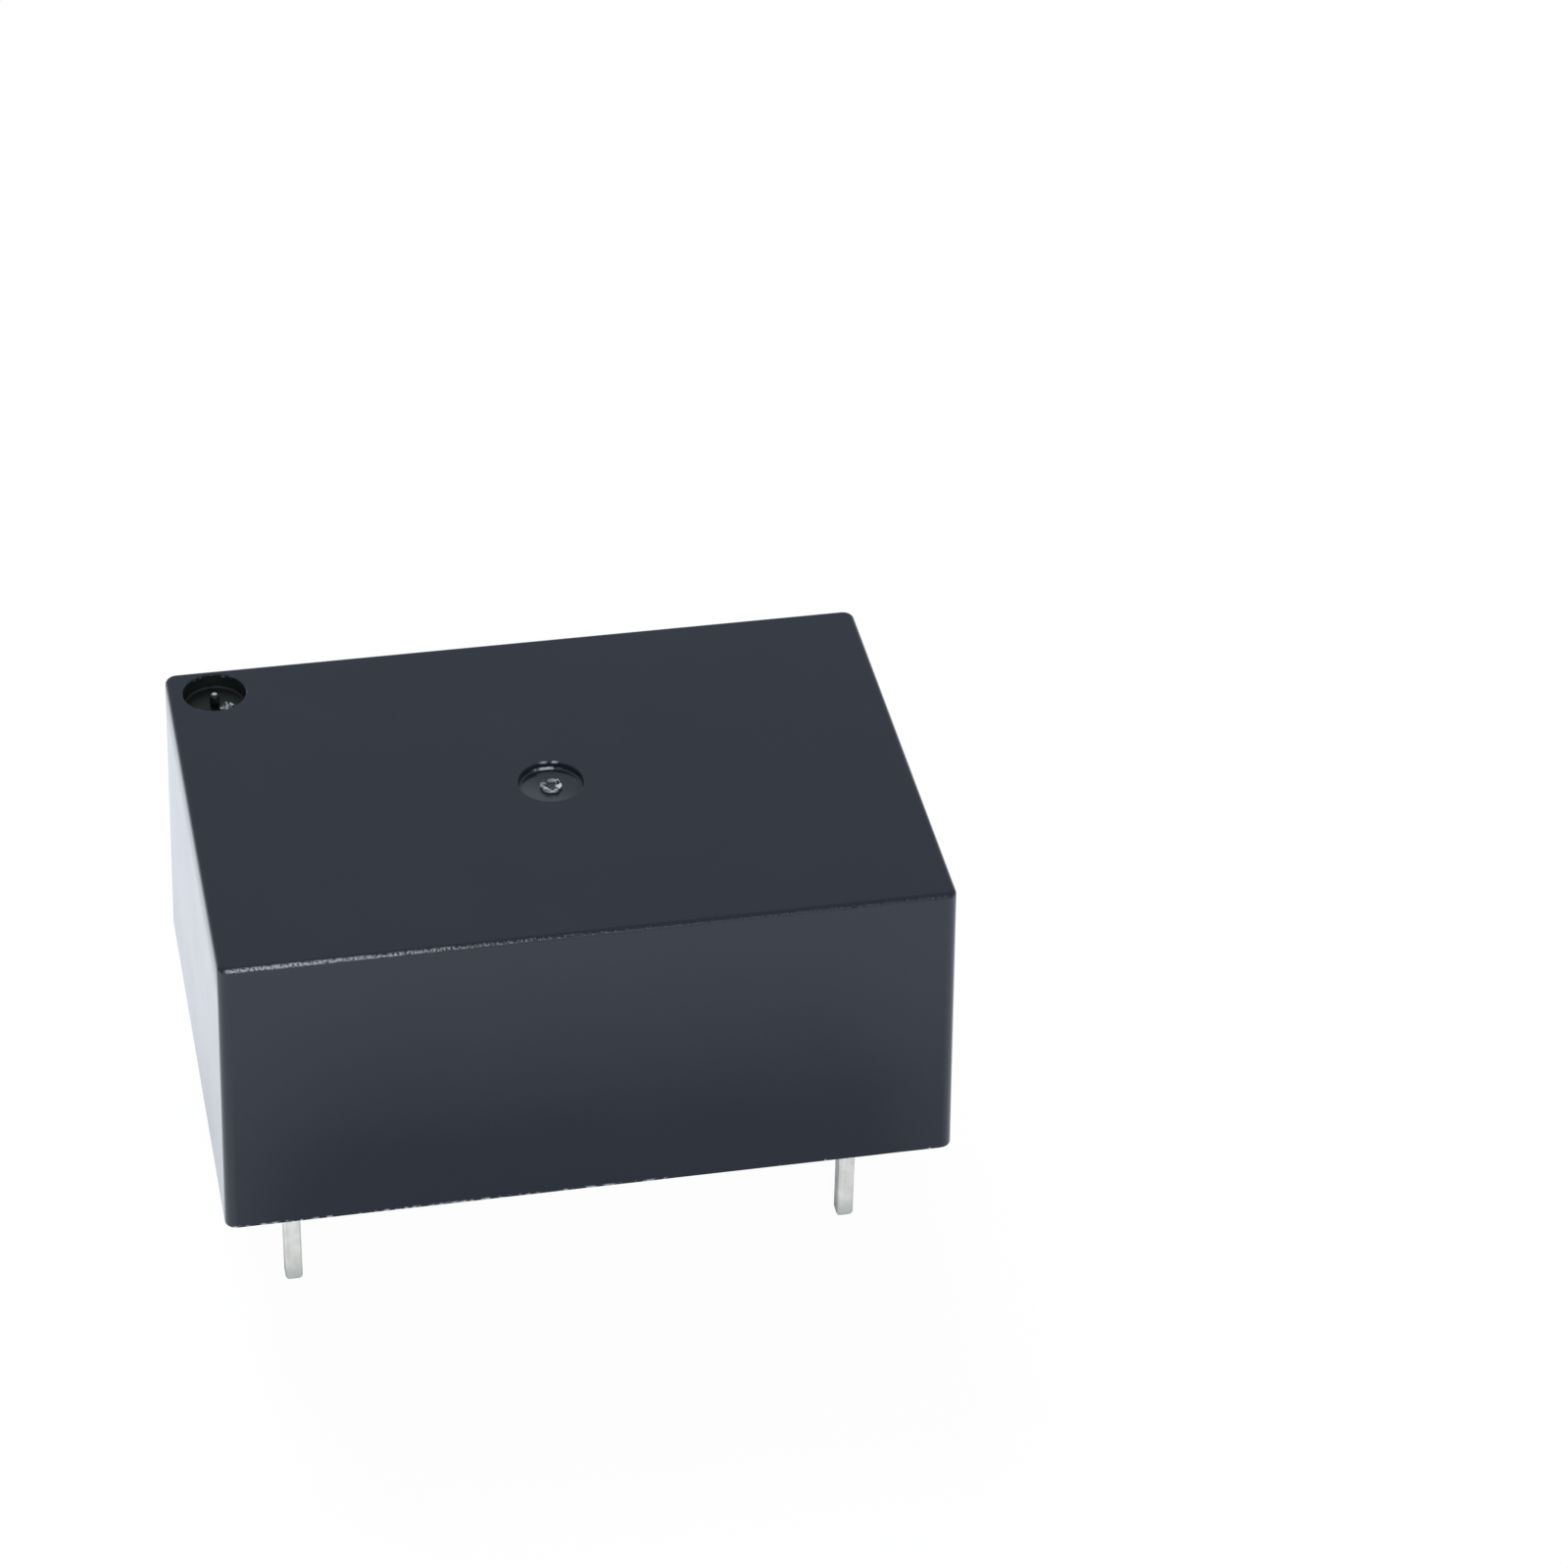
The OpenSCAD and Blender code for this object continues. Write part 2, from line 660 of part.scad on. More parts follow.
// Ring round the coil's axis that fills the bobbin between its flanges
module coil_ring(d_in, d_out) {
    translate([0, axis_y, axis_z])
        difference() {
            bar_x(winding_x0 + nest_fit, winding_x0 + winding_l - nest_fit, d_out);
            bar_x(winding_x0 - through, winding_x0 + winding_l + through, d_in);
        }
}

module winding() {
    color("#b5622d")
        coil_ring(2 * (tube_r + nest_fit), winding_d);
}

module coil_tape() {
    color("#d9b13b")
        coil_ring(winding_d + 2 * nest_fit, winding_d + 2 * nest_fit + 2 * tape_t);
}

module core() {
    color("#9a9da0")
        translate([0, axis_y, axis_z]) {
            bar_x(yoke_x0, flange_left_x, stake_d);
            bar_x(flange_left_x, pole_x, core_d);
            bar_x(pole_x - pole_t, pole_x, pole_d);
        }
}

// Places of the hinge spring's two stakes along the yoke
function stake_x(k) = pole_x - hinge_l + (k + 0.5) * hinge_stake_pitch;

module yoke() {
    bend_r = yoke_t;
    color("#a4a7aa")
        difference() {
            union() {
                upright(floor_z, floor_z + yoke_h)
                    polygon(concat(
                        [[pole_x, yoke_y0], [pole_x, yoke_y1]],
                        arc([yoke_x0 + bend_r, yoke_y1 - bend_r], bend_r, 90, 180, corner_steps),
                        [[yoke_x0, yoke_leg_y], [flange_left_x, yoke_leg_y],
                         [flange_left_x, yoke_y0]]
                    ));
                for (k = [0, 1])
                    translate([stake_x(k), 0, hinge_z])
                        bar_y(yoke_y1 - slice_t, yoke_y1 + 2 * hinge_t, hinge_stake_d);
            }
            translate([0, axis_y, axis_z])
                bar_x(yoke_x0 - through, flange_left_x + through, stake_d + 2 * nest_fit);
        }
}

module armature() {
    toe = heel + leg_dir * arm_l;
    pole_leg = [heel, toe, toe + leg_out * arm_t, heel + leg_out * arm_t];
    rear_leg = concat(
        [[leg_end_x, leg_y0], elbow, heel, heel + leg_out * arm_t],
        arc(elbow, arm_t, open_deg, 90, corner_steps),
        [[leg_end_x, leg_y1]]
    );
    color("#b9bbbd") {
        upright(axis_z - arm_h / 2, axis_z + arm_h / 2)
            polygon(pole_leg);
        upright(axis_z - leg_h / 2, axis_z + leg_h / 2)
            polygon(rear_leg);
    }
}

module pusher() {
    color("#f0eee6")
        difference() {
            union() {
                translate([pusher_x0, leg_y0, axis_z - leg_h / 2 - pusher_wall])
                    cube([pusher_l, arm_t + pusher_wall, leg_h + 2 * pusher_wall]);
                upright(axis_z - nose_h / 2, axis_z + nose_h / 2)
                    union() {
                        translate([nose_x - nose_d / 2, leg_y1])
                            square([nose_d, nose_reach - nose_d / 2]);
                        translate([nose_x, nose_y - nose_d / 2])
                            circle(d = nose_d);
                    }
            }
            // Seat of the armature's rear leg
            translate([leg_end_x, leg_y0 - through, axis_z - leg_h / 2])
                cube([pusher_l + through, arm_t + through, leg_h]);
        }
}

module hinge_spring() {
    clear = 2 * hinge_t;
    outer = heel + leg_out * (arm_t + hinge_t);
    path = [
        [pole_x - hinge_l, yoke_y1 + hinge_t / 2],
        [pole_x - hinge_t, yoke_y1 + hinge_t / 2],
        [pole_x + arm_t / 2, yoke_y1 + leg_gap + hinge_t],
        [outer[0] + clear, yoke_y1 + leg_gap + hinge_t],
        outer + leg_dir * hinge_lip
    ];
    color("#c9a25a")
        difference() {
            upright(hinge_z - hinge_w / 2, hinge_z + hinge_w / 2)
                polygon(strip(path, hinge_t));
            for (k = [0, 1])
                translate([stake_x(k), 0, hinge_z])
                    bar_y(yoke_y1 - through, yoke_y1 + hinge_t + through, hinge_stake_d + 2 * nest_fit);
        }
}

// Places of the two spring rivets
module at_rivets() {
    for (side = [-1, 1])
        translate([rivet_x, 0, contact_z + side * rivet_pitch / 2])
            children();
}

module contact_spring() {
    tip_x = blade_x1 - corner_r;
    tip_half = blade_tip_w / 2 - corner_r;
    color("#c98d55")
        difference() {
            along_y(blade_y0, blade_y1)
                polygon(concat(
                    [[blade_x0, contact_z - blade_root_w / 2], [seat_x1, contact_z - blade_root_w / 2]],
                    arc([tip_x, contact_z - tip_half], corner_r, -90, 0, corner_steps),
                    arc([tip_x, contact_z + tip_half], corner_r, 0, 90, corner_steps),
                    [[seat_x1, contact_z + blade_root_w / 2], [blade_x0, contact_z + blade_root_w / 2]]
                ));
            translate([load_x, 0, contact_z])
                bar_y(blade_y0 - through, blade_y1 + through, shank_d + 2 * nest_fit);
            at_rivets()
                bar_y(blade_y0 - through, blade_y1 + through, rivet_d + 2 * nest_fit);
        }
}

module moving_contact() {
    crown = arc([0, moving_head_h - crown_r], crown_r, acos(head_d / 2 / crown_r), 90, edge_steps);
    color("#d7d9da")
        translate([load_x, 0, contact_z]) {
            translate([0, blade_y1, 0])
                rotate([-90, 0, 0])
                    rotate_extrude()
                        polygon(concat([[0, 0], [head_d / 2, 0]], crown));
            bar_y(blade_y0 - slice_t, blade_y1 + slice_t, shank_d);
            bar_y(blade_y0 - tail_h, blade_y0, tail_d);
        }
}

module fixed_contact() {
    color("#d7d9da")
        translate([load_x, 0, contact_z]) {
            bar_y(fixed_y, plate_y0, head_d);
            bar_y(plate_y0 - slice_t, plate_y1 + slice_t, shank_d);
            bar_y(plate_y1, plate_y1 + tail_h, tail_d);
        }
}

// Plan of the common terminal's bent plate, grown by a gap
module common_plan(gap) {
    polygon(strip(
        [[common_x - common_foot_w / 2 - gap, contact_y], [slant_x0, contact_y],
         [slant_x1, seat_y], [seat_x1 + gap, seat_y]],
        contact_sheet + 2 * gap
    ));
}

// Plan of the load terminal's plate, grown by a gap
module load_plan(gap) {
    translate([load_x, contact_y])
        square([load_plate_w + 2 * gap, contact_sheet + 2 * gap], center = true);
}

// Flat pin of a contact terminal, up to its plate
module contact_pin() {
    pin(contact_pin_w, contact_sheet, floor_z + slice_t, contact_tip_l, contact_tip_in);
}

module common_terminal() {
    color("#c8cbcd")
        difference() {
            union() {
                upright(floor_z, floor_z + plate_h)
                    common_plan(0);
                translate([common_x, contact_y, 0])
                    contact_pin();
            }
            at_rivets()
                bar_y(seat_y - contact_sheet, seat_y + contact_sheet, rivet_d + 2 * nest_fit);
        }
}

module load_terminal() {
    color("#c8cbcd")
        difference() {
            union() {
                upright(floor_z, floor_z + plate_h)
                    load_plan(0);
                translate([load_x, contact_y, 0])
                    contact_pin();
            }
            translate([load_x, 0, contact_z])
                bar_y(plate_y0 - through, plate_y1 + through, shank_d + 2 * nest_fit);
        }
}

module spring_rivets() {
    seat_y1 = seat_y + contact_sheet / 2;
    color("#b98a4a")
        at_rivets() {
            bar_y(blade_y0 - rivet_head_h, blade_y0, rivet_head_d);
            bar_y(blade_y0 - slice_t, seat_y1 + slice_t, rivet_d);
            bar_y(seat_y1, seat_y1 + rivet_head_h, rivet_head_d);
        }
}

module coil_terminal(x) {
    color("#c8cbcd")
        translate([x, coil_y, 0])
            pin(coil_pin_t, coil_pin_t, floor_z + post_h, coil_tip_l, coil_tip_in);
}

module coil_terminal_left() {
    coil_terminal(coil_left_x);
}

module coil_terminal_right() {
    coil_terminal(coil_right_x);
}

// Lead from the solder joint, through the flange's pocket, to the winding's surface
module lead_wire(x, flange_x, side) {
    reach = winding_d / 2 + nest_fit + tape_t + lead_d;
    angle = atan2(lead_z - axis_z, coil_y - axis_y) - lead_turn;
    start_x = x + side * (solder_d / 2 + nest_fit);
    turn_x = side * max(side * flange_x, side * start_x + lead_d);
    start = [start_x, coil_y, lead_z];
    turn = [turn_x, coil_y, lead_z];
    finish = [turn_x + side * flange_t, axis_y + reach * cos(angle), axis_z + reach * sin(angle)];
    color("#b5622d") {
        rod(start, turn, lead_d);
        translate(turn)
            sphere(d = lead_bend * lead_d, $fn = 24);
        rod(turn, finish, lead_d);
    }
}

module lead_wire_left() {
    lead_wire(coil_left_x, winding_x0, 1);
}

module lead_wire_right() {
    lead_wire(coil_right_x, winding_x0 + winding_l, -1);
}

module solder_joints() {
    hole = coil_pin_t + 2 * seal_fit;
    color("#bfc3c6")
        for (p = coil_pins)
            translate([p[0], p[1], solder_z])
                difference() {
                    cylinder(h = solder_h, d1 = solder_d, d2 = solder_top_d);
                    translate([0, 0, solder_h / 2])
                        cube([hole, hole, solder_h + through], center = true);
                }
}

cover();
base();
sealant();
bobbin();
winding();
coil_tape();
core();
yoke();
armature();
pusher();
hinge_spring();
contact_spring();
moving_contact();
fixed_contact();
common_terminal();
load_terminal();
spring_rivets();
coil_terminal_left();
coil_terminal_right();
lead_wire_left();
lead_wire_right();
solder_joints();
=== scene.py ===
"""Flat sealed power relay for a circuit board: finishes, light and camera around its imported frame.

Lengths in the classes are millimetres in the part's own frame: the origin is the middle of the body on the
board's surface, +Z is up, and the coil's side looks towards -Y. Meshes are made in metres.
"""

import json
import logging
import math
from collections.abc import Callable, Iterator, Sequence
from contextlib import contextmanager
from dataclasses import dataclass, field
from enum import Enum
from functools import cached_property, reduce

import bpy
from mathutils import Matrix, Vector, noise

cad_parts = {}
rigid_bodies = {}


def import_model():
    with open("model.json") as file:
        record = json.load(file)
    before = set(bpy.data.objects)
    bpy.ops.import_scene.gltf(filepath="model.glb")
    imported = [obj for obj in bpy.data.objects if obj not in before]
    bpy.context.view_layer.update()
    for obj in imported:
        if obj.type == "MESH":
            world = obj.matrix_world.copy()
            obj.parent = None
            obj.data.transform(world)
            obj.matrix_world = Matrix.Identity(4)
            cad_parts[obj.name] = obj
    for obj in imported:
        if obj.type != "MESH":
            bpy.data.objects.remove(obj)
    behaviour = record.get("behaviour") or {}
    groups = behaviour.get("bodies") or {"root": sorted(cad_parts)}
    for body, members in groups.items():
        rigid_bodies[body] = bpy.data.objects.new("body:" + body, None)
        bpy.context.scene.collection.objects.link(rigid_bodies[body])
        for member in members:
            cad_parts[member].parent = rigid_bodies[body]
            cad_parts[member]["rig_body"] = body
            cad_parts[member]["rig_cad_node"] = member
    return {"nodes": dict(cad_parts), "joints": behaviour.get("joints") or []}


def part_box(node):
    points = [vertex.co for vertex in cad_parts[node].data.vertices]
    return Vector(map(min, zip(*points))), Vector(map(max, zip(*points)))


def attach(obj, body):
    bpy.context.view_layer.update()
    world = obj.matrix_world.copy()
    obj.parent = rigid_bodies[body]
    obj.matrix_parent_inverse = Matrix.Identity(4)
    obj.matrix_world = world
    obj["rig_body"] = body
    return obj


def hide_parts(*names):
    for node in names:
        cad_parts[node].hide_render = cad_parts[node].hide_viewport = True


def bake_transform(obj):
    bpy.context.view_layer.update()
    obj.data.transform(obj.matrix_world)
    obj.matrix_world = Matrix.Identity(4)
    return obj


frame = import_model()

MM = 0.001
NEAR = 0.004
MERGE = 1e-7
FLAT = math.radians(0.4)
SHARP = math.radians(40)
GATE = (0.0, 0.0)
MIX_INPUTS = (0, 6, 7)
MIX_OUTPUT = 2
PINS = ("coil_terminal_left", "coil_terminal_right", "common_terminal", "load_terminal")
LOG = logging.getLogger("relay")
Piece = bpy.types.Object
Socket = bpy.types.NodeSocket
Pair = tuple[float, float]
Triple = tuple[float, float, float]
Test = Callable[[list[Vector]], bool]


class Element(Enum):
    """Kind of mesh element that a selection takes."""

    VERT = "VERT"
    EDGE = "EDGE"
    FACE = "FACE"


class Cut(Enum):
    """Way in which one solid changes another."""

    AWAY = "DIFFERENCE"
    ONTO = "UNION"
    WITHIN = "INTERSECT"


# Bench tools

def only(piece: Piece) -> None:
    """Leave a piece as the only selected object, and the active one."""
    bpy.ops.object.select_all(action="DESELECT")
    piece.select_set(True)
    bpy.context.view_layer.objects.active = piece


def started(name: str) -> Piece:
    """Name the primitive that was just added, and put its place and size into its mesh.

    Args:
        name: name of the piece.

    Returns:
        The new object, at the origin.
    """
    piece = bpy.context.object
    piece.name = name
    piece.data.name = name
    bpy.ops.object.transform_apply(location=True, rotation=True, scale=True)
    return piece


def block(name: str, low: Sequence[float], high: Sequence[float]) -> Piece:
    """Start a piece as a box between two corners.

    Args:
        name: name of the piece.
        low: lowest corner in millimetres.
        high: highest corner in millimetres.

    Returns:
        The new object.
    """
    bpy.ops.object.select_all(action="DESELECT")
    low_corner = Vector(low) * MM
    high_corner = Vector(high) * MM
    middle = (low_corner + high_corner) / 2
    bpy.ops.mesh.primitive_cube_add(size=1.0, location=middle, scale=high_corner - low_corner)
    return started(name)


def rod(name: str, foot: Sequence[float], radius: float, length: float, sides: int = 64) -> Piece:
    """Start a piece as an upright round bar.

    Args:
        name: name of the piece.
        foot: middle of its lower end in millimetres.
        radius: radius in millimetres.
        length: length in millimetres.
        sides: number of sides.

    Returns:
        The new object.
    """
    bpy.ops.object.select_all(action="DESELECT")
    middle = (Vector(foot) + Vector((0, 0, length / 2))) * MM
    bpy.ops.mesh.primitive_cylinder_add(vertices=sides, radius=radius * MM, depth=length * MM,
                                        location=middle)
    return started(name)


@contextmanager
def picked(piece: Piece, kind: Element, test: Test) -> Iterator[None]:
    """Open a piece in edit mode with only the elements that pass a test selected.

    Args:
        piece: mesh object to edit.
        kind: kind of element to select.
        test: takes an element's points in millimetres and says whether it is selected.

    Returns:
        A context in which edit-mode operators act on the selection.
    """
    only(piece)
    bpy.ops.object.mode_set(mode="EDIT")
    bpy.ops.mesh.select_mode(type=kind.value)
    bpy.ops.mesh.select_all(action="DESELECT")
    bpy.ops.object.mode_set(mode="OBJECT")
    points = [vertex.co / MM for vertex in piece.data.vertices]
    if kind is Element.VERT:
        for vertex, point in zip(piece.data.vertices, points):
            vertex.select = test([point])
    else:
        elements = piece.data.edges if kind is Element.EDGE else piece.data.polygons
        for element in elements:
            element.select = test([points[i] for i in element.vertices])
    bpy.ops.object.mode_set(mode="EDIT")
    yield
    bpy.ops.object.mode_set(mode="OBJECT")


def level(height: float) -> Test:
    """Test that takes what lies in one level plane."""
    return lambda points: all(abs(p.z - height) < NEAR for p in points)


def ring(centre: Sequence[float], radius: float, height: float) -> Test:
    """Test that takes the edges of a level circle."""
    return lambda points: all(
        abs(p.z - height) < NEAR and abs(math.dist(p.xy, centre[:2]) - radius) < NEAR for p in points
    )


def everything(points: list[Vector]) -> bool:
    """Test that takes the whole mesh."""
    return True


def modify(piece: Piece, kind: str, **settings: object) -> None:
    """Add a modifier with the given settings to a piece, and apply it."""
    only(piece)
    modifier = piece.modifiers.new(kind.lower(), kind)
    for name, value in settings.items():
        setattr(modifier, name, value)
    bpy.ops.object.modifier_apply(modifier=modifier.name)


def combine(piece: Piece, tool: Piece, cut: Cut) -> None:
    """Cut a piece with a tool, or join the tool onto it, and throw the tool away.

    Args:
        piece: solid that changes.
        tool: solid that changes it.
        cut: way of the change.
    """
    modify(piece, "BOOLEAN", object=tool, operation=cut.value, solver="MANIFOLD")
    bpy.data.objects.remove(tool)


def bevel(radius: float, segments: int = 2) -> None:
    """Round the selected edges by a radius in millimetres."""
    bpy.ops.mesh.bevel(offset=radius * MM, offset_type="OFFSET", segments=segments, profile=0.5,
                       affect="EDGES")


def shade(piece: Piece, angle: float = 32.0) -> None:
    """Merge a piece's doubles, turn its faces outwards and smooth its rounded edges.

    Args:
        piece: closed mesh.
        angle: edges sharper than this angle in degrees stay sharp.
    """
    with picked(piece, Element.FACE, everything):
        bpy.ops.mesh.remove_doubles(threshold=MERGE)
        bpy.ops.mesh.normals_make_consistent(inside=False)
    only(piece)
    bpy.ops.object.shade_smooth_by_angle(angle=math.radians(angle))
    modify(piece, "WEIGHTED_NORMAL", weight=80, keep_sharp=True)


def copied(node: str, name: str) -> Piece:
    """Copy a CAD node as a merged mesh of flat faces.

    Args:
        node: name of the CAD node.
        name: name of the copy.

    Returns:
        The copy, with no parent and no mark of the frame.
    """
    only(frame["nodes"][node])
    bpy.ops.object.duplicate(linked=False)
    piece = bpy.context.object
    piece.parent = None
    piece.name = name
    piece.data.name = name
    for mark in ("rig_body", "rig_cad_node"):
        del piece[mark]
    piece.data.materials.clear()
    with picked(piece, Element.FACE, everything):
        bpy.ops.mesh.remove_doubles(threshold=MERGE * 10)
        bpy.ops.mesh.dissolve_limited(angle_limit=FLAT)
    return piece


def ease(piece: Piece, radius: float) -> None:
    """Round a piece's sharp edges by a radius in millimetres."""
    modify(piece, "BEVEL", width=radius * MM, segments=2, limit_method="ANGLE", angle_limit=SHARP)


def softened(node: str, name: str, radius: float) -> Piece:
    """Copy a CAD node and round its sharp edges.

    Args:
        node: name of the CAD node.
        name: name of the copy.
        radius: radius of the edges in millimetres.

    Returns:
        The finished copy.
    """
    piece = copied(node, name)
    ease(piece, radius)
    shade(piece)
    return piece


def span(node: str) -> tuple[Vector, Vector]:
    """Lowest and highest corner of a CAD node in millimetres."""
    low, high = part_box(node)
    return low / MM, high / MM


def pivot(joint: str) -> Vector:
    """Place of a joint in metres."""
    return Vector(next(j for j in frame["joints"] if j["name"] == joint)["pos_m"])


# Shading

class Board:
    """Adds nodes to one node tree and joins them."""

    def __init__(self, tree: bpy.types.NodeTree) -> None:
        """Take the tree that the nodes go into."""
        self.tree = tree

    def join(self, value: object, socket: Socket) -> None:
        """Link a socket to an input, or set the input to a plain value.

        Args:
            value: socket, number, vector or colour.
            socket: input that takes it.
        """
        if isinstance(value, Socket):
            self.tree.links.new(value, socket)
        elif socket.type == "RGBA":
            socket.default_value = (*value, 1.0)
        else:
            socket.default_value = value

    def add(self, kind: str, inputs: dict | None = None, **settings: object) -> bpy.types.Node:
        """Add a node.

        Args:
            kind: node type without its ShaderNode prefix.
            inputs: values or sockets for its inputs, by name or number.
            settings: values for its own properties.

        Returns:
            The new node.
        """
        node = self.tree.nodes.new("ShaderNode" + kind)
        for name, value in settings.items():
            setattr(node, name, value)
        for key, value in (inputs or {}).items():
            self.join(value, node.inputs[key])
        return node

    def place(self, stretch: Sequence[float] = (1, 1, 1)) -> Socket:
        """Object coordinates in millimetres, stretched along each axis."""
        inputs = {0: self.add("TexCoord").outputs["Object"], 1: [value / MM for value in stretch]}
        return self.add("VectorMath", inputs, operation="MULTIPLY").outputs[0]

    @cached_property
    def axes(self) -> bpy.types.NodeOutputs:
        """Object coordinates in millimetres, by axis."""
        return self.add("SeparateXYZ", {0: self.place()}).outputs

    def math(self, operation: str, *values: object) -> Socket:
        """Result of one arithmetic step on sockets and numbers."""
        return self.add("Math", dict(enumerate(values)), operation=operation).outputs[0]

    def times(self, first: object, *others: object) -> Socket:
        """Product of sockets and numbers."""
        return reduce(lambda product, other: self.math("MULTIPLY", product, other), others, first)

    def plus(self, first: object, second: object) -> Socket:
        """Sum of two sockets or numbers."""
        return self.math("ADD", first, second)

    def minus(self, first: object, second: object) -> Socket:
        """Difference of two sockets or numbers."""
        return self.math("SUBTRACT", first, second)

    def size(self, value: object) -> Socket:
        """Value without its sign."""
        return self.math("ABSOLUTE", value)

    def ramp(self, mask: object, rise: object, start: object) -> Socket:
        """Start value that rises with a mask."""
        return self.math("MULTIPLY_ADD", mask, rise, start)

    def hypot(self, first: object, second: object) -> Socket:
        """Length of the diagonal over two sides."""
        return self.math("SQRT", self.ramp(first, first, self.times(second, second)))

    def out(self, centre: Pair) -> Socket:
        """Distance from an upright axis."""
        return self.hypot(self.minus(self.axes["X"], centre[0]), self.minus(self.axes["Y"], centre[1]))

    def along(self, east: float, north: float) -> Socket:
        """Place along a direction in plan."""
        return self.plus(self.times(self.axes["X"], east), self.times(self.axes["Y"], north))

    def cloud(self, scale: object, detail: float = 3.0, stretch: Sequence[float] = (1, 1, 1)) -> Socket:
        """Soft noise with a number of cells per millimetre."""
        inputs = {"Vector": self.place(stretch), "Scale": scale, "Detail": detail}
        return self.add("TexNoise", inputs).outputs["Fac"]

    def between(self, value: object, low: object, high: object) -> Socket:
        """Smooth step from 0 at low to 1 at high."""
        inputs = {"Value": value, "From Min": low, "From Max": high}
        return self.add("MapRange", inputs, interpolation_type="SMOOTHSTEP").outputs[0]

    def tint(self, mask: object, plain: object, changed: object) -> Socket:
        """Colour that goes from a plain one to a changed one with a mask."""
        inputs = dict(zip(MIX_INPUTS, (mask, plain, changed)))
        return self.add("Mix", inputs, data_type="RGBA").outputs[MIX_OUTPUT]

    def bump(self, height: Socket, depth: float, **more: Socket) -> Socket:
        """Normal over a height that is so many millimetres deep."""
        inputs = {"Height": height, "Distance": depth * MM, "Strength": 1.0, **more}
        return self.add("Bump", inputs).outputs[0]


class Group(Board):
    """Board of a shader node group."""

    def __init__(self, name: str, **inputs: float) -> None:
        """Start a group.

        Args:
            name: name of the group.
            inputs: its inputs and their first values.
        """
        super().__init__(bpy.data.node_groups.new(name, "ShaderNodeTree"))
        for key, value in inputs.items():
            socket = self.tree.interface.new_socket(key, in_out="INPUT", socket_type="NodeSocketFloat")
            socket.default_value = value
        self.given = self.tree.nodes.new("NodeGroupInput").outputs

    def closed(self, **outputs: Socket) -> bpy.types.NodeTree:
        """Give the group its outputs.

        Args:
            outputs: the sockets that it gives out, by name.

        Returns:
            The finished group.
        """
        for key in outputs:
            self.tree.interface.new_socket(key, in_out="OUTPUT", socket_type="NodeSocketFloat")
        leave = self.tree.nodes.new("NodeGroupOutput")
        for key, value in outputs.items():
            self.join(value, leave.inputs[key])
        return self.tree


class Effects:
    """Shader node groups that several finishes share."""

    def __init__(self) -> None:
        """Build every group once."""
        self.grain = self.build_grain()
        self.specks = self.build_specks()
        self.scuffs = self.build_scuffs()
        self.bloom = self.build_bloom()
        self.dust = self.build_dust()

    def build_grain(self) -> bpy.types.NodeTree:
        """Fine moulded grain.

        Returns:
            Group that gives a height and a tone.
        """
        group = Group("moulded_grain", Scale=12.0)
        fine = group.cloud(group.given["Scale"], 4.0)
        wide = group.cloud(0.35, 2.0)
        return group.closed(Height=fine, Tone=group.plus(group.times(fine, 0.5), group.times(wide, 0.5)))

    def build_specks(self) -> bpy.types.NodeTree:
        """Broken bright specks near an edge, from the distance to it in millimetres.

        Returns:
            Group that gives a mask.
        """
        group = Group("edge_specks", Distance=1.0, Reach=0.1, Cover=0.5, Scale=6.0, Soft=0.06)
        given = group.given
        near = group.between(given["Distance"], given["Reach"], 0.0)
        low = group.minus(0.78, group.times(given["Cover"], 0.5))
        broken = group.between(group.cloud(given["Scale"], 5.0), low, group.plus(low, given["Soft"]))
        return group.closed(Mask=group.times(near, broken))

    def build_scuffs(self) -> bpy.types.NodeTree:
        """Fine rubbed lines inside cloudy patches.

        Returns:
            Group that gives a mask.
        """
        group = Group("rub_marks", Scale=1.0, Patches=0.5)
        lines = group.cloud(group.given["Scale"], 3.0, (2.0, 34.0, 12.0))
        low = group.minus(0.8, group.times(group.given["Patches"], 0.5))
        inside = group.between(group.cloud(0.45, 2.0), low, group.plus(low, 0.2))
        return group.closed(Mask=group.times(group.between(lines, 0.58, 0.75), inside))

    def build_bloom(self) -> bpy.types.NodeTree:
        """Mottled bloom of a metal surface, drawn out along Z.

        Returns:
            Group that gives a tone and a fine height.
        """
        group = Group("metal_bloom", Scale=3.0, Draw=8.0)
        blotch = group.cloud(group.given["Scale"], 5.0)
        lines = group.cloud(group.given["Draw"], 3.0, (1.0, 1.0, 0.06))
        streaky = group.plus(group.times(blotch, 0.6), group.times(lines, 0.4))
        height = group.plus(lines, group.times(blotch, 0.7))
        return group.closed(Tone=group.between(streaky, 0.36, 0.64), Height=height)

    def build_dust(self) -> bpy.types.NodeTree:
        """Scattered specks of dust inside a pale haze.

        Returns:
            Group that gives a mask.
        """
        group = Group("fine_dust", Cover=0.5, Haze=0.3)
        low = group.minus(0.78, group.times(group.given["Cover"], 0.16))
        specks = group.between(group.cloud(7.0, 1.0), low, group.plus(low, 0.05))
        film = group.ramp(group.cloud(0.16, 4.0), 0.8, group.times(group.cloud(9.0, 3.0), 0.2))
        haze = group.times(group.between(film, 0.42, 0.72), group.given["Haze"])
        return group.closed(Mask=group.math("MAXIMUM", group.times(specks, 0.8), haze))


def blank(name: str) -> tuple[bpy.types.Material, Board, bpy.types.NodeInputs]:
    """Start a material.

    Args:
        name: name of the material.

    Returns:
        The material, a board for its nodes and the inputs of its shader.
    """
    material = bpy.data.materials.new(name)
    material.use_nodes = True
    tree = material.node_tree
    return material, Board(tree), tree.nodes["Principled BSDF"].inputs


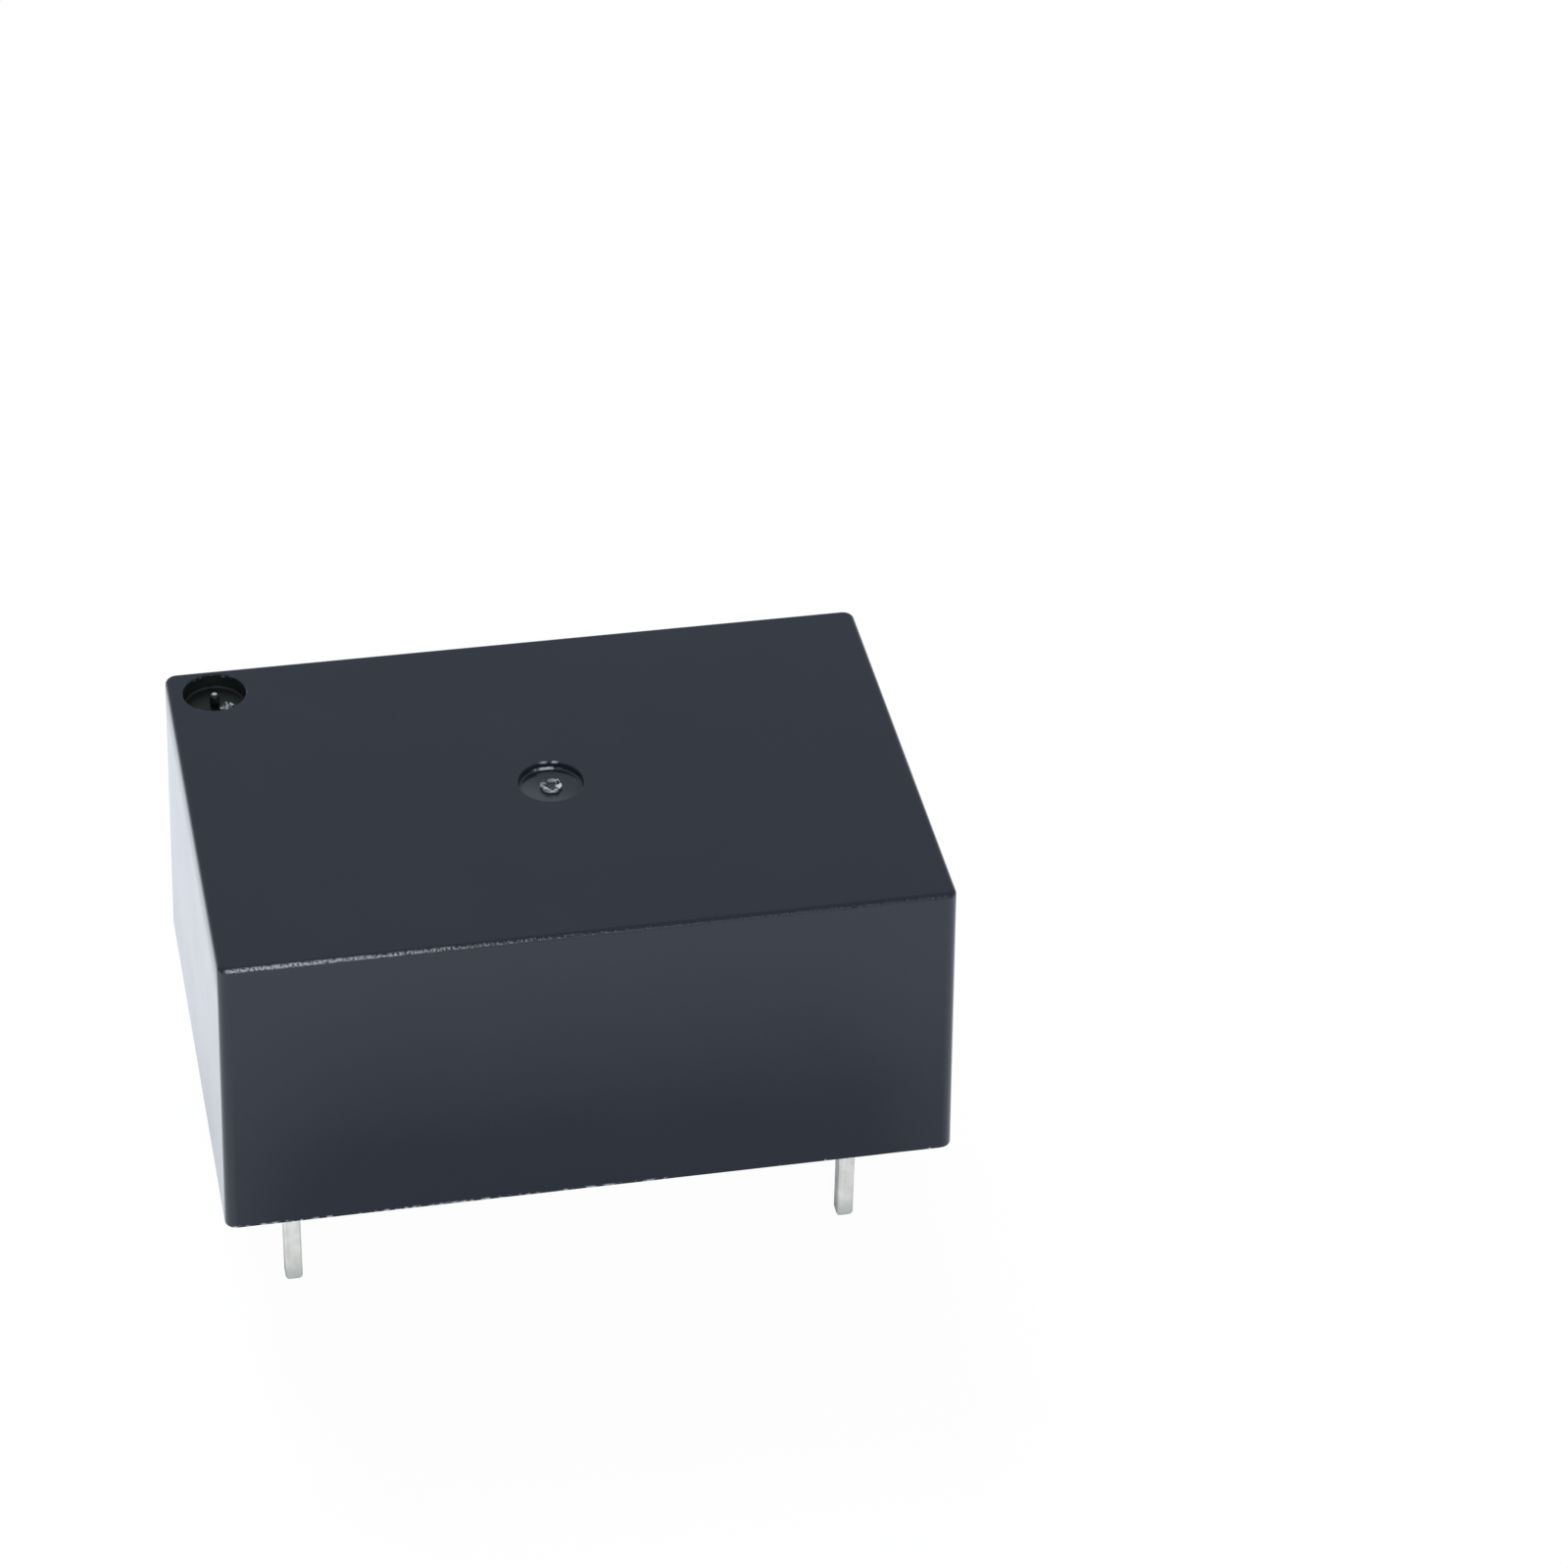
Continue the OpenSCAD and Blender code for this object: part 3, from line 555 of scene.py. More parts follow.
@dataclass(frozen=True)
class Plastic:
    """Moulded plastic with a fine grain, faint rub marks and dust."""

    name: str
    colour: Triple
    roughness: float = 0.4
    grain: float = 14.0
    depth: float = 0.0015
    marks: float = 0.3
    lift: float = 1.6
    shine: float = 0.5
    dust: float = 0.0
    haze: float = 0.0
    dust_colour: Triple = (0.16, 0.175, 0.19)
    rub_share: float = 0.6
    tone_rough: float = 0.12
    rub_rough: float = 0.15

    def material(self, effects: Effects) -> bpy.types.Material:
        """Make the material.

        Args:
            effects: shared node groups.

        Returns:
            The finished material.
        """
        material, board, shader = blank(self.name)
        grain = board.add("Group", {"Scale": self.grain}, node_tree=effects.grain).outputs
        marks = board.add("Group", {"Patches": self.marks}, node_tree=effects.scuffs).outputs["Mask"]
        raised = tuple(min(1.0, value * self.lift) for value in self.colour)
        rub_and_highlight = tuple(0.7 * value + 0.03 for value in raised)
        colour = board.tint(grain["Tone"], self.colour, raised)
        colour = board.tint(board.times(marks, self.rub_share), colour, rub_and_highlight)
        board.join(self.marked(board, effects, colour), shader["Base Color"])
        rough = board.ramp(grain["Tone"], self.tone_rough, self.roughness - self.tone_rough / 2)
        rough = board.ramp(marks, self.rub_rough, rough)
        board.join(self.dulled(board, rough), shader["Roughness"])
        shader["Specular IOR Level"].default_value = self.shine
        bumpy = board.bump(grain["Height"], self.depth)
        board.join(self.crowned(board, bumpy), shader["Normal"])
        return material

    def marked(self, board: Board, effects: Effects, colour: Socket) -> Socket:
        """Colour with what lies on the surface: dust on plain plastic.

        Args:
            board: board of the material.
            effects: shared node groups.
            colour: colour of the bare surface.

        Returns:
            Colour with the dust.
        """
        if not self.dust:
            return colour
        dust = board.add("Group", {"Cover": self.dust, "Haze": self.haze}, node_tree=effects.dust)
        return board.tint(dust.outputs["Mask"], colour, self.dust_colour)

    def dulled(self, board: Board, rough: Socket) -> Socket:
        """Roughness with its dull places: plain plastic has none."""
        return rough

    def crowned(self, board: Board, normal: Socket) -> Socket:
        """Normal with the crown of a moulded wall: plain plastic has none."""
        return normal


@dataclass(frozen=True)
class Specks:
    """How bright specks lie along an edge: how far from it, how many, how fine and how soft."""

    reach: float
    cover: float
    scale: float
    soft: float

    def mask(self, board: Board, effects: Effects, distance: Socket, **varied: Socket) -> Socket:
        """Mask of the specks.

        Args:
            board: board of the material.
            effects: shared node groups.
            distance: distance to the edge in millimetres.
            varied: sockets in place of plain values, by the group's inputs.

        Returns:
            The mask.
        """
        plain = {"Reach": self.reach, "Cover": self.cover, "Scale": self.scale, "Soft": self.soft}
        inputs = {"Distance": distance, **plain, **varied}
        return board.add("Group", inputs, node_tree=effects.specks).outputs["Mask"]


@dataclass(frozen=True)
class Moulding:
    """Sizes that the cover's shape and its finish share."""

    half_length: float = 11.02
    half_width: float = 7.62
    top: float = 10.0
    rim: float = 0.3
    lean: float = 0.18
    gate: float = 1.0
    gate_depth: float = 0.25
    stub: float = 0.33
    vent: Pair = (-9.58, 6.38)
    vent_radius: float = 0.975
    vent_depth: float = 0.5
    nib: float = 0.15
    scrap: Triple = (0.36, -0.3, 0.24)


@dataclass(frozen=True)
class CoverPlastic(Plastic):
    """Black plastic of the cover: front edge worn and painted with a highlight, crumbs and painted glints on
    the rim, painted shade and glints in a rougher vent and the gate dimple, and a torn gate.
    """

    sizes: Moulding = Moulding()
    crown: float = 1.4
    crown_depth: float = 0.13
    end_facing: Pair = (0.7, 0.95)
    # Pale line on the front edge: partly wear, partly a painted highlight.
    edge_wear_and_highlight: Specks = Specks(reach=0.09, cover=0.50, scale=14.0, soft=0.26)
    highlight_gain_left: Pair = (0.04, 0.42)
    highlight_stretch_left: Pair = (3.5, -9.5)
    # Pale specks on the rim: partly real crumbs, partly painted glints.
    rim_crumbs_and_glints: Specks = Specks(reach=0.12, cover=0.22, scale=4.5, soft=0.1)
    crumb_glint_gain: Pair = (0.22, 0.12)
    crumb_glint_stretch: Pair = (5.0, 1.0)
    crumb_glint_depth: float = 0.6
    crumb_glint_share: float = 0.8
    # Painted glints on the vent's mouth.
    glints: Specks = Specks(reach=0.09, cover=0.46, scale=5.0, soft=0.12)
    glint_share: float = 0.4
    # Painted highlights on the gate dimple's rear mouth and foot.
    painted_rim_glints: Specks = Specks(reach=0.08, cover=0.8, scale=5.0, soft=0.2)
    nib_glint_share: float = 0.6
    dullness: float = 0.32
    # The colours below paint the rim's crumbs and glints, the edge's wear and highlight, the dimple floor's
    # painted light, the vent's painted shade, and white breaks with painted glints.
    crumb_and_glint_white: Triple = (0.62, 0.64, 0.68)
    rub_and_highlight: Triple = (0.66, 0.72, 0.77)
    gate_floor_far: Triple = (0.009, 0.014, 0.021)
    gate_floor_lit: Triple = (0.034, 0.044, 0.052)
    vent_painted_shade: Triple = (0.0036, 0.0056, 0.0060)
    torn_white_and_glint: Triple = (0.40, 0.46, 0.50)

    def marked(self, board: Board, effects: Effects, colour: Socket) -> Socket:
        """Colour with the front edge's wear and painted highlight, the rim's crumbs and painted glints, and
        the two recesses' painted shade and painted highlights.

        Args:
            board: board of the material.
            effects: shared node groups.
            colour: colour of the plain surface.

        Returns:
            Colour with all of them.
        """
        colour = self.stump(board, self.dimple(board, effects, colour))
        colour = self.vented(board, effects, colour)
        # Front top edge: a pale broken line that is partly wear and partly a painted highlight, growing
        # towards the left.
        leftward = board.between(board.axes["X"], *self.highlight_stretch_left)
        reach = board.ramp(leftward, self.highlight_gain_left[0], self.edge_wear_and_highlight.reach)
        cover = board.ramp(leftward, self.highlight_gain_left[1], self.edge_wear_and_highlight.cover)
        edge_wear_and_highlight = self.edge_wear_and_highlight.mask(board, effects, self.front_edge(board), Reach=reach, Cover=cover)
        colour = board.tint(edge_wear_and_highlight, colour, self.rub_and_highlight)
        # Rim: pale crumbs that are partly real crumbs and partly painted glints, more of them to the front
        # and to the left.
        half = self.sizes.half_width
        front = board.between(board.axes["Y"], self.crumb_glint_depth - half, -half)
        crowded = board.ramp(board.between(board.axes["X"], *self.crumb_glint_stretch), *self.crumb_glint_gain)
        cover = board.ramp(front, crowded, self.rim_crumbs_and_glints.cover)
        rim_crumbs_and_glints = self.rim_crumbs_and_glints.mask(board, effects, self.rim_edge(board), Cover=cover)
        return board.tint(board.times(rim_crumbs_and_glints, self.crumb_glint_share), colour, self.crumb_and_glint_white)

    def dulled(self, board: Board, rough: Socket) -> Socket:
        """Roughness that rises along the rubbed front edge and inside the vent.

        Args:
            board: board of the material.
            rough: roughness of the plain surface.

        Returns:
            Roughness with the dull places.
        """
        near = board.between(self.front_edge(board), 0.24, 0.08)
        scuffed = board.times(near, board.between(board.cloud(7.0, 3.0), 0.3, 0.6))
        return board.ramp(board.math("MAXIMUM", scuffed, self.in_vent(board)), self.dullness, rough)

    def crowned(self, board: Board, normal: Socket) -> Socket:
        """Normal of the end walls, which lean in softly below the top edge.

        Args:
            board: board of the material.
            normal: normal of the plain surface.

        Returns:
            Normal with the crown.
        """
        inputs = {"Value": self.below(board), "From Min": self.crown, "From Max": 0.0}
        share = board.add("MapRange", inputs).outputs[0]
        facing = board.add("SeparateXYZ", {0: board.add("NewGeometry").outputs["Normal"]}).outputs["X"]
        end = board.between(board.size(facing), *self.end_facing)
        return board.bump(board.minus(1.0, board.times(share, share, end)), self.crown_depth, Normal=normal)

    def below(self, board: Board) -> Socket:
        """Depth below the top."""
        return board.minus(self.sizes.top, board.axes["Z"])

    def layer(self, board: Board, upper: Pair, lower: Pair) -> Socket:
        """Mask of a layer that fades in over one stretch of depth and out over another."""
        below = self.below(board)
        return board.times(board.between(below, *upper), board.between(below, *lower))

    def column(self, board: Board, centre: Pair, outer: float, inner: float) -> Socket:
        """Mask of an upright column that fades out between two radii."""
        return board.between(board.out(centre), outer, inner)

    def front_edge(self, board: Board) -> Socket:
        """Distance to the edge between the front and the top."""
        above = board.minus(board.axes["Z"], self.sizes.top - 0.02)
        return board.hypot(above, board.plus(board.axes["Y"], self.sizes.half_width + 0.01))

    def rim_edge(self, board: Board) -> Socket:
        """Distance to the outer edge of the rim.

        Args:
            board: board of the material.

        Returns:
            Distance in millimetres.
        """
        sizes = self.sizes
        beside = [board.size(board.minus(half + sizes.lean, board.size(board.axes[axis])))
                  for axis, half in (("X", sizes.half_length), ("Y", sizes.half_width))]
        return board.hypot(board.minus(board.axes["Z"], sizes.rim), board.math("MINIMUM", *beside))

    def in_vent(self, board: Board) -> Socket:
        """Mask of the vent recess, below its mouth.

        Args:
            board: board of the material.

        Returns:
            The mask.
        """
        radius = self.sizes.vent_radius
        floor = self.sizes.vent_depth
        inside = self.column(board, self.sizes.vent, radius + 0.04, radius)
        return board.times(inside, self.layer(board, (0.02, 0.07), (floor + 0.2, floor + 0.1)))

    def vented(self, board: Board, effects: Effects, colour: Socket) -> Socket:
        """Colour with the vent painted near black as painted shade, painted glints at its mouth, and painted
        highlights on the tip of its nib and on the torn scrap.

        Args:
            board: board of the material.
            effects: shared node groups.
            colour: colour of the plain surface.

        Returns:
            Colour with the vent.
        """
        sizes = self.sizes
        x, y = sizes.vent
        below = self.below(board)
        # Painted shade: the inside of the vent is painted near black.
        colour = board.tint(self.in_vent(board), colour, self.vent_painted_shade)
        # Painted glints along the vent's mouth.
        mouth = board.hypot(board.minus(board.out(sizes.vent), sizes.vent_radius), board.minus(below, 0.03))
        glints = board.times(self.glints.mask(board, effects, mouth), self.glint_share)
        colour = board.tint(glints, colour, self.torn_white_and_glint)
        # Painted highlights on the top of the scrap, broken by noise.
        aside, forward, radius = sizes.scrap
        torn = self.column(board, (x + aside, y + forward), radius + 0.03, radius - 0.03)
        raised = board.between(below, sizes.vent_depth - 0.03, sizes.vent_depth - 0.09)
        torn = board.times(torn, raised, board.between(board.cloud(8.0, 2.0), 0.46, 0.58))
        # Painted highlight on the nib's tip.
        cut = self.column(board, sizes.vent, sizes.nib / 2 + 0.03, sizes.nib / 2 - 0.03)
        tip = board.times(cut, board.between(below, 0.12, 0.07), self.nib_glint_share)
        return board.tint(board.math("MAXIMUM", torn, tip), colour, self.torn_white_and_glint)

    def dimple(self, board: Board, effects: Effects, colour: Socket) -> Socket:
        """Colour with the gate dimple's floor, painted lighter towards the front-left as painted light, and
        painted highlights at the rear of its mouth and foot.

        Args:
            board: board of the material.
            effects: shared node groups.
            colour: colour of the plain surface.

        Returns:
            Colour with the dimple.
        """
        gate = self.sizes.gate
        depth = self.sizes.gate_depth
        out = board.out(GATE)
        below = self.below(board)
        floor = board.times(board.between(out, gate, gate - 0.08), self.layer(board, (0.1, 0.2), (0.5, 0.4)))
        # Painted light: the dimple's floor is painted lighter towards the front-left.
        forward = board.between(board.along(-0.5, -0.85), -0.4, 0.9)
        colour = board.tint(floor, colour, board.tint(forward, self.gate_floor_far, self.gate_floor_lit))
        # Painted highlights: a glint on the rear of the mouth and a bright line along the foot of the rear
        # wall.
        rearward = board.between(board.axes["Y"], 0.82 * gate, 0.98 * gate)
        middle = board.between(board.size(board.minus(board.axes["X"], 0.12)), 0.42, 0.05)
        mouth = board.hypot(board.minus(out, gate), below)
        foot = board.hypot(board.minus(out, gate - 0.03), board.minus(below, depth - 0.03))
        for distance, place in ((mouth, middle), (foot, rearward)):
            rub_and_highlight = board.times(self.painted_rim_glints.mask(board, effects, distance), place, rearward)
            colour = board.tint(rub_and_highlight, colour, self.torn_white_and_glint)
        return colour

    def stump(self, board: Board, colour: Socket) -> Socket:
        """Colour with the pale broken ring of the gate's stump: partly whitened torn plastic, partly a
        painted highlight that is brightest at the right.

        Args:
            board: board of the material.
            colour: colour of the plain surface.

        Returns:
            Colour with the stump.
        """
        radius = self.sizes.stub
        torn = board.times(self.column(board, GATE, radius + 0.05, radius - 0.02),
                           self.layer(board, (0.02, 0.06), (0.22, 0.18)))
        # Painted highlight: the stump's pale ring is brightest towards the right and front.
        lit_side = board.ramp(board.between(board.along(0.8, -0.6), -0.2, 0.2), 0.7, 0.3)
        crown = board.times(board.between(board.out(GATE), 0.1, 0.2), lit_side)
        broken = board.between(board.cloud(7.0, 2.0), 0.4, 0.55)
        return board.tint(board.times(torn, broken, crown), colour, self.torn_white_and_glint)


@dataclass(frozen=True)
class Metal:
    """Plated, drawn or rolled metal with a mottled bloom."""

    name: str
    colour: Triple
    dull: Triple
    roughness: float = 0.28
    spread: float = 0.18
    metallic: float = 1.0
    scale: float = 3.0
    draw: float = 8.0
    depth: float = 0.003

    def material(self, effects: Effects) -> bpy.types.Material:
        """Make the material.

        Args:
            effects: shared node groups.

        Returns:
            The finished material.
        """
        material, board, shader = blank(self.name)
        bloom = board.add("Group", {"Scale": self.scale, "Draw": self.draw}, node_tree=effects.bloom).outputs
        colour = board.tint(bloom["Tone"], self.colour, self.dull)
        board.join(self.ends(board, colour), shader["Base Color"])
        board.join(board.ramp(bloom["Tone"], self.spread, self.roughness), shader["Roughness"])
        shader["Metallic"].default_value = self.metallic
        board.join(board.bump(bloom["Height"], self.depth), shader["Normal"])
        return material

    def ends(self, board: Board, colour: Socket) -> Socket:
        """Colour with what cut ends show: plain metal shows nothing there."""
        return colour


@dataclass(frozen=True)
class TinnedPin(Metal):
    """Tinned copper that is greyer towards its tip and shows the bare metal on its cut."""

    bare: Triple = (0.42, 0.25, 0.15)
    tip_grey: Triple = (0.56, 0.60, 0.56)
    tip: float = -3.6
    tip_fade: float = 0.9
    cut: Pair = (0.06, 0.02)

    def ends(self, board: Board, colour: Socket) -> Socket:
        """Colour that is greyer towards the tip, with bare copper on the cut.

        Args:
            board: board of the material.
            colour: colour of the plating.

        Returns:
            Colour with the tip.
        """
        height = board.minus(board.axes["Z"], self.tip)
        # Greener grey over the lowest part of the pin, towards its tip.
        colour = board.tint(board.between(height, self.tip_fade, 0.0), colour, self.tip_grey)
        ragged = board.between(board.cloud(5.0, 4.0), 0.35, 0.6)
        return board.tint(board.times(board.between(height, *self.cut), ragged), colour, self.bare)


# Sub-assemblies

@dataclass
class Workshop:
    """Gives finished pieces their body and their material, hides the CAD nodes that they stand for and logs
    their slot.
    """

    effects: Effects
    materials: dict[str, bpy.types.Material] = field(default_factory=dict)

    def finish(self, look: Plastic | Metal) -> bpy.types.Material:
        """Material of a finish, made once."""
        if look.name not in self.materials:
            self.materials[look.name] = look.material(self.effects)
        return self.materials[look.name]

    def hand_over(self, piece: Piece, look: Plastic | Metal, slot: str, body: str = "housing",
                  nodes: Sequence[str] = ()) -> None:
        """Dress a piece, let it ride on its body and report it.

        Args:
            piece: finished mesh.
            look: its finish.
            slot: material slot of the record.
            body: body that it moves with, or nothing for a piece that rides on no body.
            nodes: CAD nodes that it stands for.
        """
        piece.data.materials.clear()
        piece.data.materials.append(self.finish(look))
        if body:
            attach(piece, body)
        if nodes:
            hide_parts(*nodes)
        LOG.info("%s: %d faces, slot %s", piece.name, len(piece.data.polygons), slot)

    def dress(self, node: str, name: str, edge: float, look: Plastic | Metal, slot: str,
              body: str = "housing") -> None:
        """Ease the edges of a CAD node's copy and hand it over in the node's place."""
        self.hand_over(softened(node, name, edge), look, slot, body, (node,))


@dataclass
class Cover:
    """Drafted shell with a vent recess, a gate dimple and two standoff pads."""

    sizes: Moulding = Moulding()
    wall: float = 0.8
    roof: float = 0.9
    corner: float = 0.35
    edge: float = 0.18
    rim_edge: float = 0.05
    pad: Triple = (0.6, 1.6, 0.3)
    pad_lap: float = 0.1
    fillet: float = 0.08
    mouth: float = 0.05
    tool_over: float = 0.3
    nib_below: float = 0.05
    nib_sunk: float = 0.1
    nib_round: float = 0.8
    scrap_height: float = 0.1
    scrap_seed: int = 3
    stub_height: float = 0.12
    stub_seed: int = 5
    look: CoverPlastic = CoverPlastic("cover_plastic", (0.0040, 0.0068, 0.0135), roughness=0.13, grain=16.0,
                                      depth=0.0006, marks=0.16, shine=0.46)

    def build(self) -> Piece:
        """Model the whole cover.

        Returns:
            The finished cover.
        """
        low, high = span("cover")
        rim = low.z + self.pad[2]
        sizes = self.sizes
        shell = self.shell(low, high, rim)
        self.recess(shell, GATE, sizes.gate, high.z, sizes.gate_depth)
        self.recess(shell, sizes.vent, sizes.vent_radius, high.z, sizes.vent_depth)
        self.nib(shell, high.z)
        foot = (*GATE, high.z - sizes.gate_depth)
        stub = broken_stub("cover_stub", foot, sizes.stub, self.stub_height, self.stub_seed)
        combine(shell, stub, Cut.ONTO)
        self.pads(shell, high.x, rim)
        shade(shell)
        return shell

    def shell(self, low: Vector, high: Vector, rim: float) -> Piece:
        """Model the drafted box with its cavity.

        Args:
            low: lowest corner of the cover.
            high: highest corner of the cover.
            rim: height of the rim.

        Returns:
            The open box.
        """
        shell = block("cover_shell", (low.x, low.y, rim), high)
        with picked(shell, Element.FACE, level(high.z)):
            self.draw_in(high, self.sizes.lean, high.z)
        with picked(shell, Element.EDGE, lambda points: abs(points[0].z - points[1].z) > self.edge):
            bevel(self.corner, 6)
        with picked(shell, Element.EDGE, level(high.z)):
            bevel(self.edge, 5)
        with picked(shell, Element.EDGE, level(rim)):
            bevel(self.rim_edge, 2)
        with picked(shell, Element.FACE, level(rim)):
            bpy.ops.mesh.inset(thickness=(self.wall - self.rim_edge) * MM)
            rise = high.z - self.roof - rim
            bpy.ops.mesh.extrude_region_move(TRANSFORM_OT_translate={"value": (0, 0, rise * MM)})
            inner = high - Vector((self.wall, self.wall, 0))
            self.draw_in(inner, self.sizes.lean * rise / (high.z - rim), high.z - self.roof)
        return shell

    def draw_in(self, high: Vector, lean: float, height: float) -> None:
        """Draw the selected level face in by the lean of its walls."""
        share = (1 - lean / high.x, 1 - lean / high.y, 1)
        bpy.ops.transform.resize(value=share, center_override=(0, 0, height * MM))

    def recess(self, shell: Piece, centre: Pair, radius: float, top: float, depth: float) -> None:
        """Sink a round recess with a filleted floor and an eased mouth into the top.

        Args:
            shell: cover to cut.
            centre: middle of the recess in plan.
            radius: its radius.
            top: height of the cover's top.
            depth: its depth.
        """
        tool = rod("recess_tool", (*centre, top - depth), radius, depth + self.tool_over, 72)
        with picked(tool, Element.EDGE, level(top - depth)):
            bevel(self.fillet, 3)
        combine(shell, tool, Cut.AWAY)
        with picked(shell, Element.EDGE, ring(centre, radius, top)):
            bevel(self.mouth, 4)

    def nib(self, shell: Piece, top: float) -> None:
        """Stand the vent's round-tipped nib in the recess, with a scrap of plastic beside it.

        Args:
            shell: cover with the recess.
            top: height of the cover's top.
        """
        x, y = self.sizes.vent
        floor = top - self.sizes.vent_depth
        foot = floor - self.nib_sunk
        tip = top - self.nib_below
        nib = rod("vent_nib", (x, y, foot), self.sizes.nib, tip - foot, 32)
        with picked(nib, Element.EDGE, level(tip)):
            bevel(self.nib_round * self.sizes.nib, 5)
        combine(shell, nib, Cut.ONTO)
        aside, forward, radius = self.sizes.scrap
        place = (x + aside, y + forward, floor)
        scrap = broken_stub("vent_scrap", place, radius, self.scrap_height, self.scrap_seed)
        combine(shell, scrap, Cut.ONTO)

    def pads(self, shell: Piece, end: float, rim: float) -> None:
        """Put a standoff pad under the middle of each short rim.

        Args:
            shell: cover that takes them.
            end: half length of the cover at its rim.
            rim: height of the rim.
        """
        width, length, height = self.pad
        for side in (-1, 1):
            middle = side * (end - self.wall / 2)
            pad = block("standoff_pad", (middle - width / 2, -length / 2, rim - height),
                        (middle + width / 2, length / 2, rim + self.pad_lap))
            with picked(pad, Element.EDGE, lambda points: min(p.z for p in points) < rim - NEAR):
                bevel(self.rim_edge, 2)
            combine(shell, pad, Cut.ONTO)


def broken_stub(name: str, foot: Sequence[float], radius: float, height: float, seed: int,
                down: bool = False) -> Piece:
    """Model the torn stump of a moulding gate: a ragged crown round a pit.

    Args:
        name: name of the piece.
        foot: middle of its foot in millimetres.
        radius: radius at its foot.
        height: height of its crown.
        seed: seed of its ragged edge.
        down: whether it hangs down from its foot.

    Returns:
        The stump.
    """
    sunk = 0.06
    lip = 0.03
    ragged = 0.045
    torn = 0.05
    stub = rod(name, (0, 0, -sunk), radius, height + sunk, 22)
    with picked(stub, Element.FACE, level(height)):
        bpy.ops.mesh.inset(thickness=radius * 0.3 * MM)
        bpy.ops.transform.translate(value=(0, 0, lip * MM))
        bpy.ops.mesh.inset(thickness=radius * 0.28 * MM)
        bpy.ops.transform.translate(value=(0, 0, -0.7 * height * MM))
    with picked(stub, Element.VERT, lambda points: points[0].z > 0.02):
        bpy.ops.transform.vertex_random(offset=ragged * MM, uniform=0.2, seed=seed)
    with picked(stub, Element.VERT, lambda points: points[0].z > height - torn):
        bpy.ops.transform.vertex_random(offset=torn * MM, uniform=0.0, seed=seed + 1)
    turn = Matrix.Rotation(math.pi, 4, "X") if down else Matrix.Identity(4)
    stub.data.transform(Matrix.Translation(Vector(foot) * MM) @ turn)
    return stub


@dataclass
class Underside:
    """Base with the torn stump in its gate dimple and its embossed coil sign."""

    edge: float = 0.03
    stub_radius: float = 0.42
    stub_height: float = 0.2
    stub_seed: int = 11
    gate_depth: float = 0.35
    sign_wire: float = 0.06
    sign_steps: int = 24
    sign_loops: int = 2
    sign_start: float = 1.84
    sign_pitch: float = 1.55
    sign_swing: float = 0.8
    sign_half_height: float = 1.12
    sign_y: float = -3.1
    sign_ends: Pair = (3.47, -4.24)
    look: Plastic = Plastic("base_plastic", (0.032, 0.039, 0.047), roughness=0.5, grain=18.0, depth=0.004,
                            marks=0.5, dust=0.36, haze=0.26)
    sign_look: Plastic = Plastic("sign_plastic", (0.046, 0.054, 0.062), roughness=0.2, grain=9.0, depth=0.003,
                                 lift=2.0, shine=0.9)
    torn_look: Plastic = Plastic("torn_plastic", (0.030, 0.036, 0.042), roughness=0.42, grain=5.0, depth=0.02,
                                 lift=9.0)

    def dress(self, shop: Workshop) -> None:
        """Build and hand over the base, its stump and its sign.

        Args:
            shop: workshop that takes them.
        """
        shop.dress("base", "base_moulding", self.edge, self.look, "base_plastic")
        shop.hand_over(self.stub(), self.torn_look, "base_plastic")
        shop.hand_over(self.sign(), self.sign_look, "base_plastic")

    def stub(self) -> Piece:
        """Torn stump in the panel's gate dimple."""
        foot = (*GATE, span("base")[0].z + self.gate_depth)
        return broken_stub("base_stub", foot, self.stub_radius, self.stub_height, self.stub_seed, True)

    def sign(self) -> Piece:
        """Model the embossed sign of a coil: looped wire between two straight ends.

        Returns:
            The sign as a mesh, half sunk in the panel.
        """
        height = span("base")[0].z
        steps = self.sign_steps
        first, last = self.sign_ends
        path = [(first, self.sign_y)]
        for i in range(steps // 4, int(steps * (self.sign_loops + 0.75)) + 1):
            angle = math.tau * i / steps
            x = self.sign_start - self.sign_pitch * i / steps + self.sign_swing * math.sin(angle)
            path.append((x, self.sign_y + self.sign_half_height * math.cos(angle)))
        path.append((last, self.sign_y))
        curve = bpy.data.curves.new("coil_sign", "CURVE")
        curve.dimensions = "3D"
        curve.bevel_depth = self.sign_wire * MM
        curve.bevel_resolution = 2
        curve.use_fill_caps = True
        spline = curve.splines.new("POLY")
        spline.points.add(len(path) - 1)
        for point, (x, y) in zip(spline.points, path):
            point.co = (x * MM, y * MM, height * MM, 1.0)
        sign = bpy.data.objects.new("coil_sign", curve)
        bpy.context.scene.collection.objects.link(sign)
        only(sign)
        bpy.ops.object.convert(target="MESH")
        shade(sign, 60)
        return sign


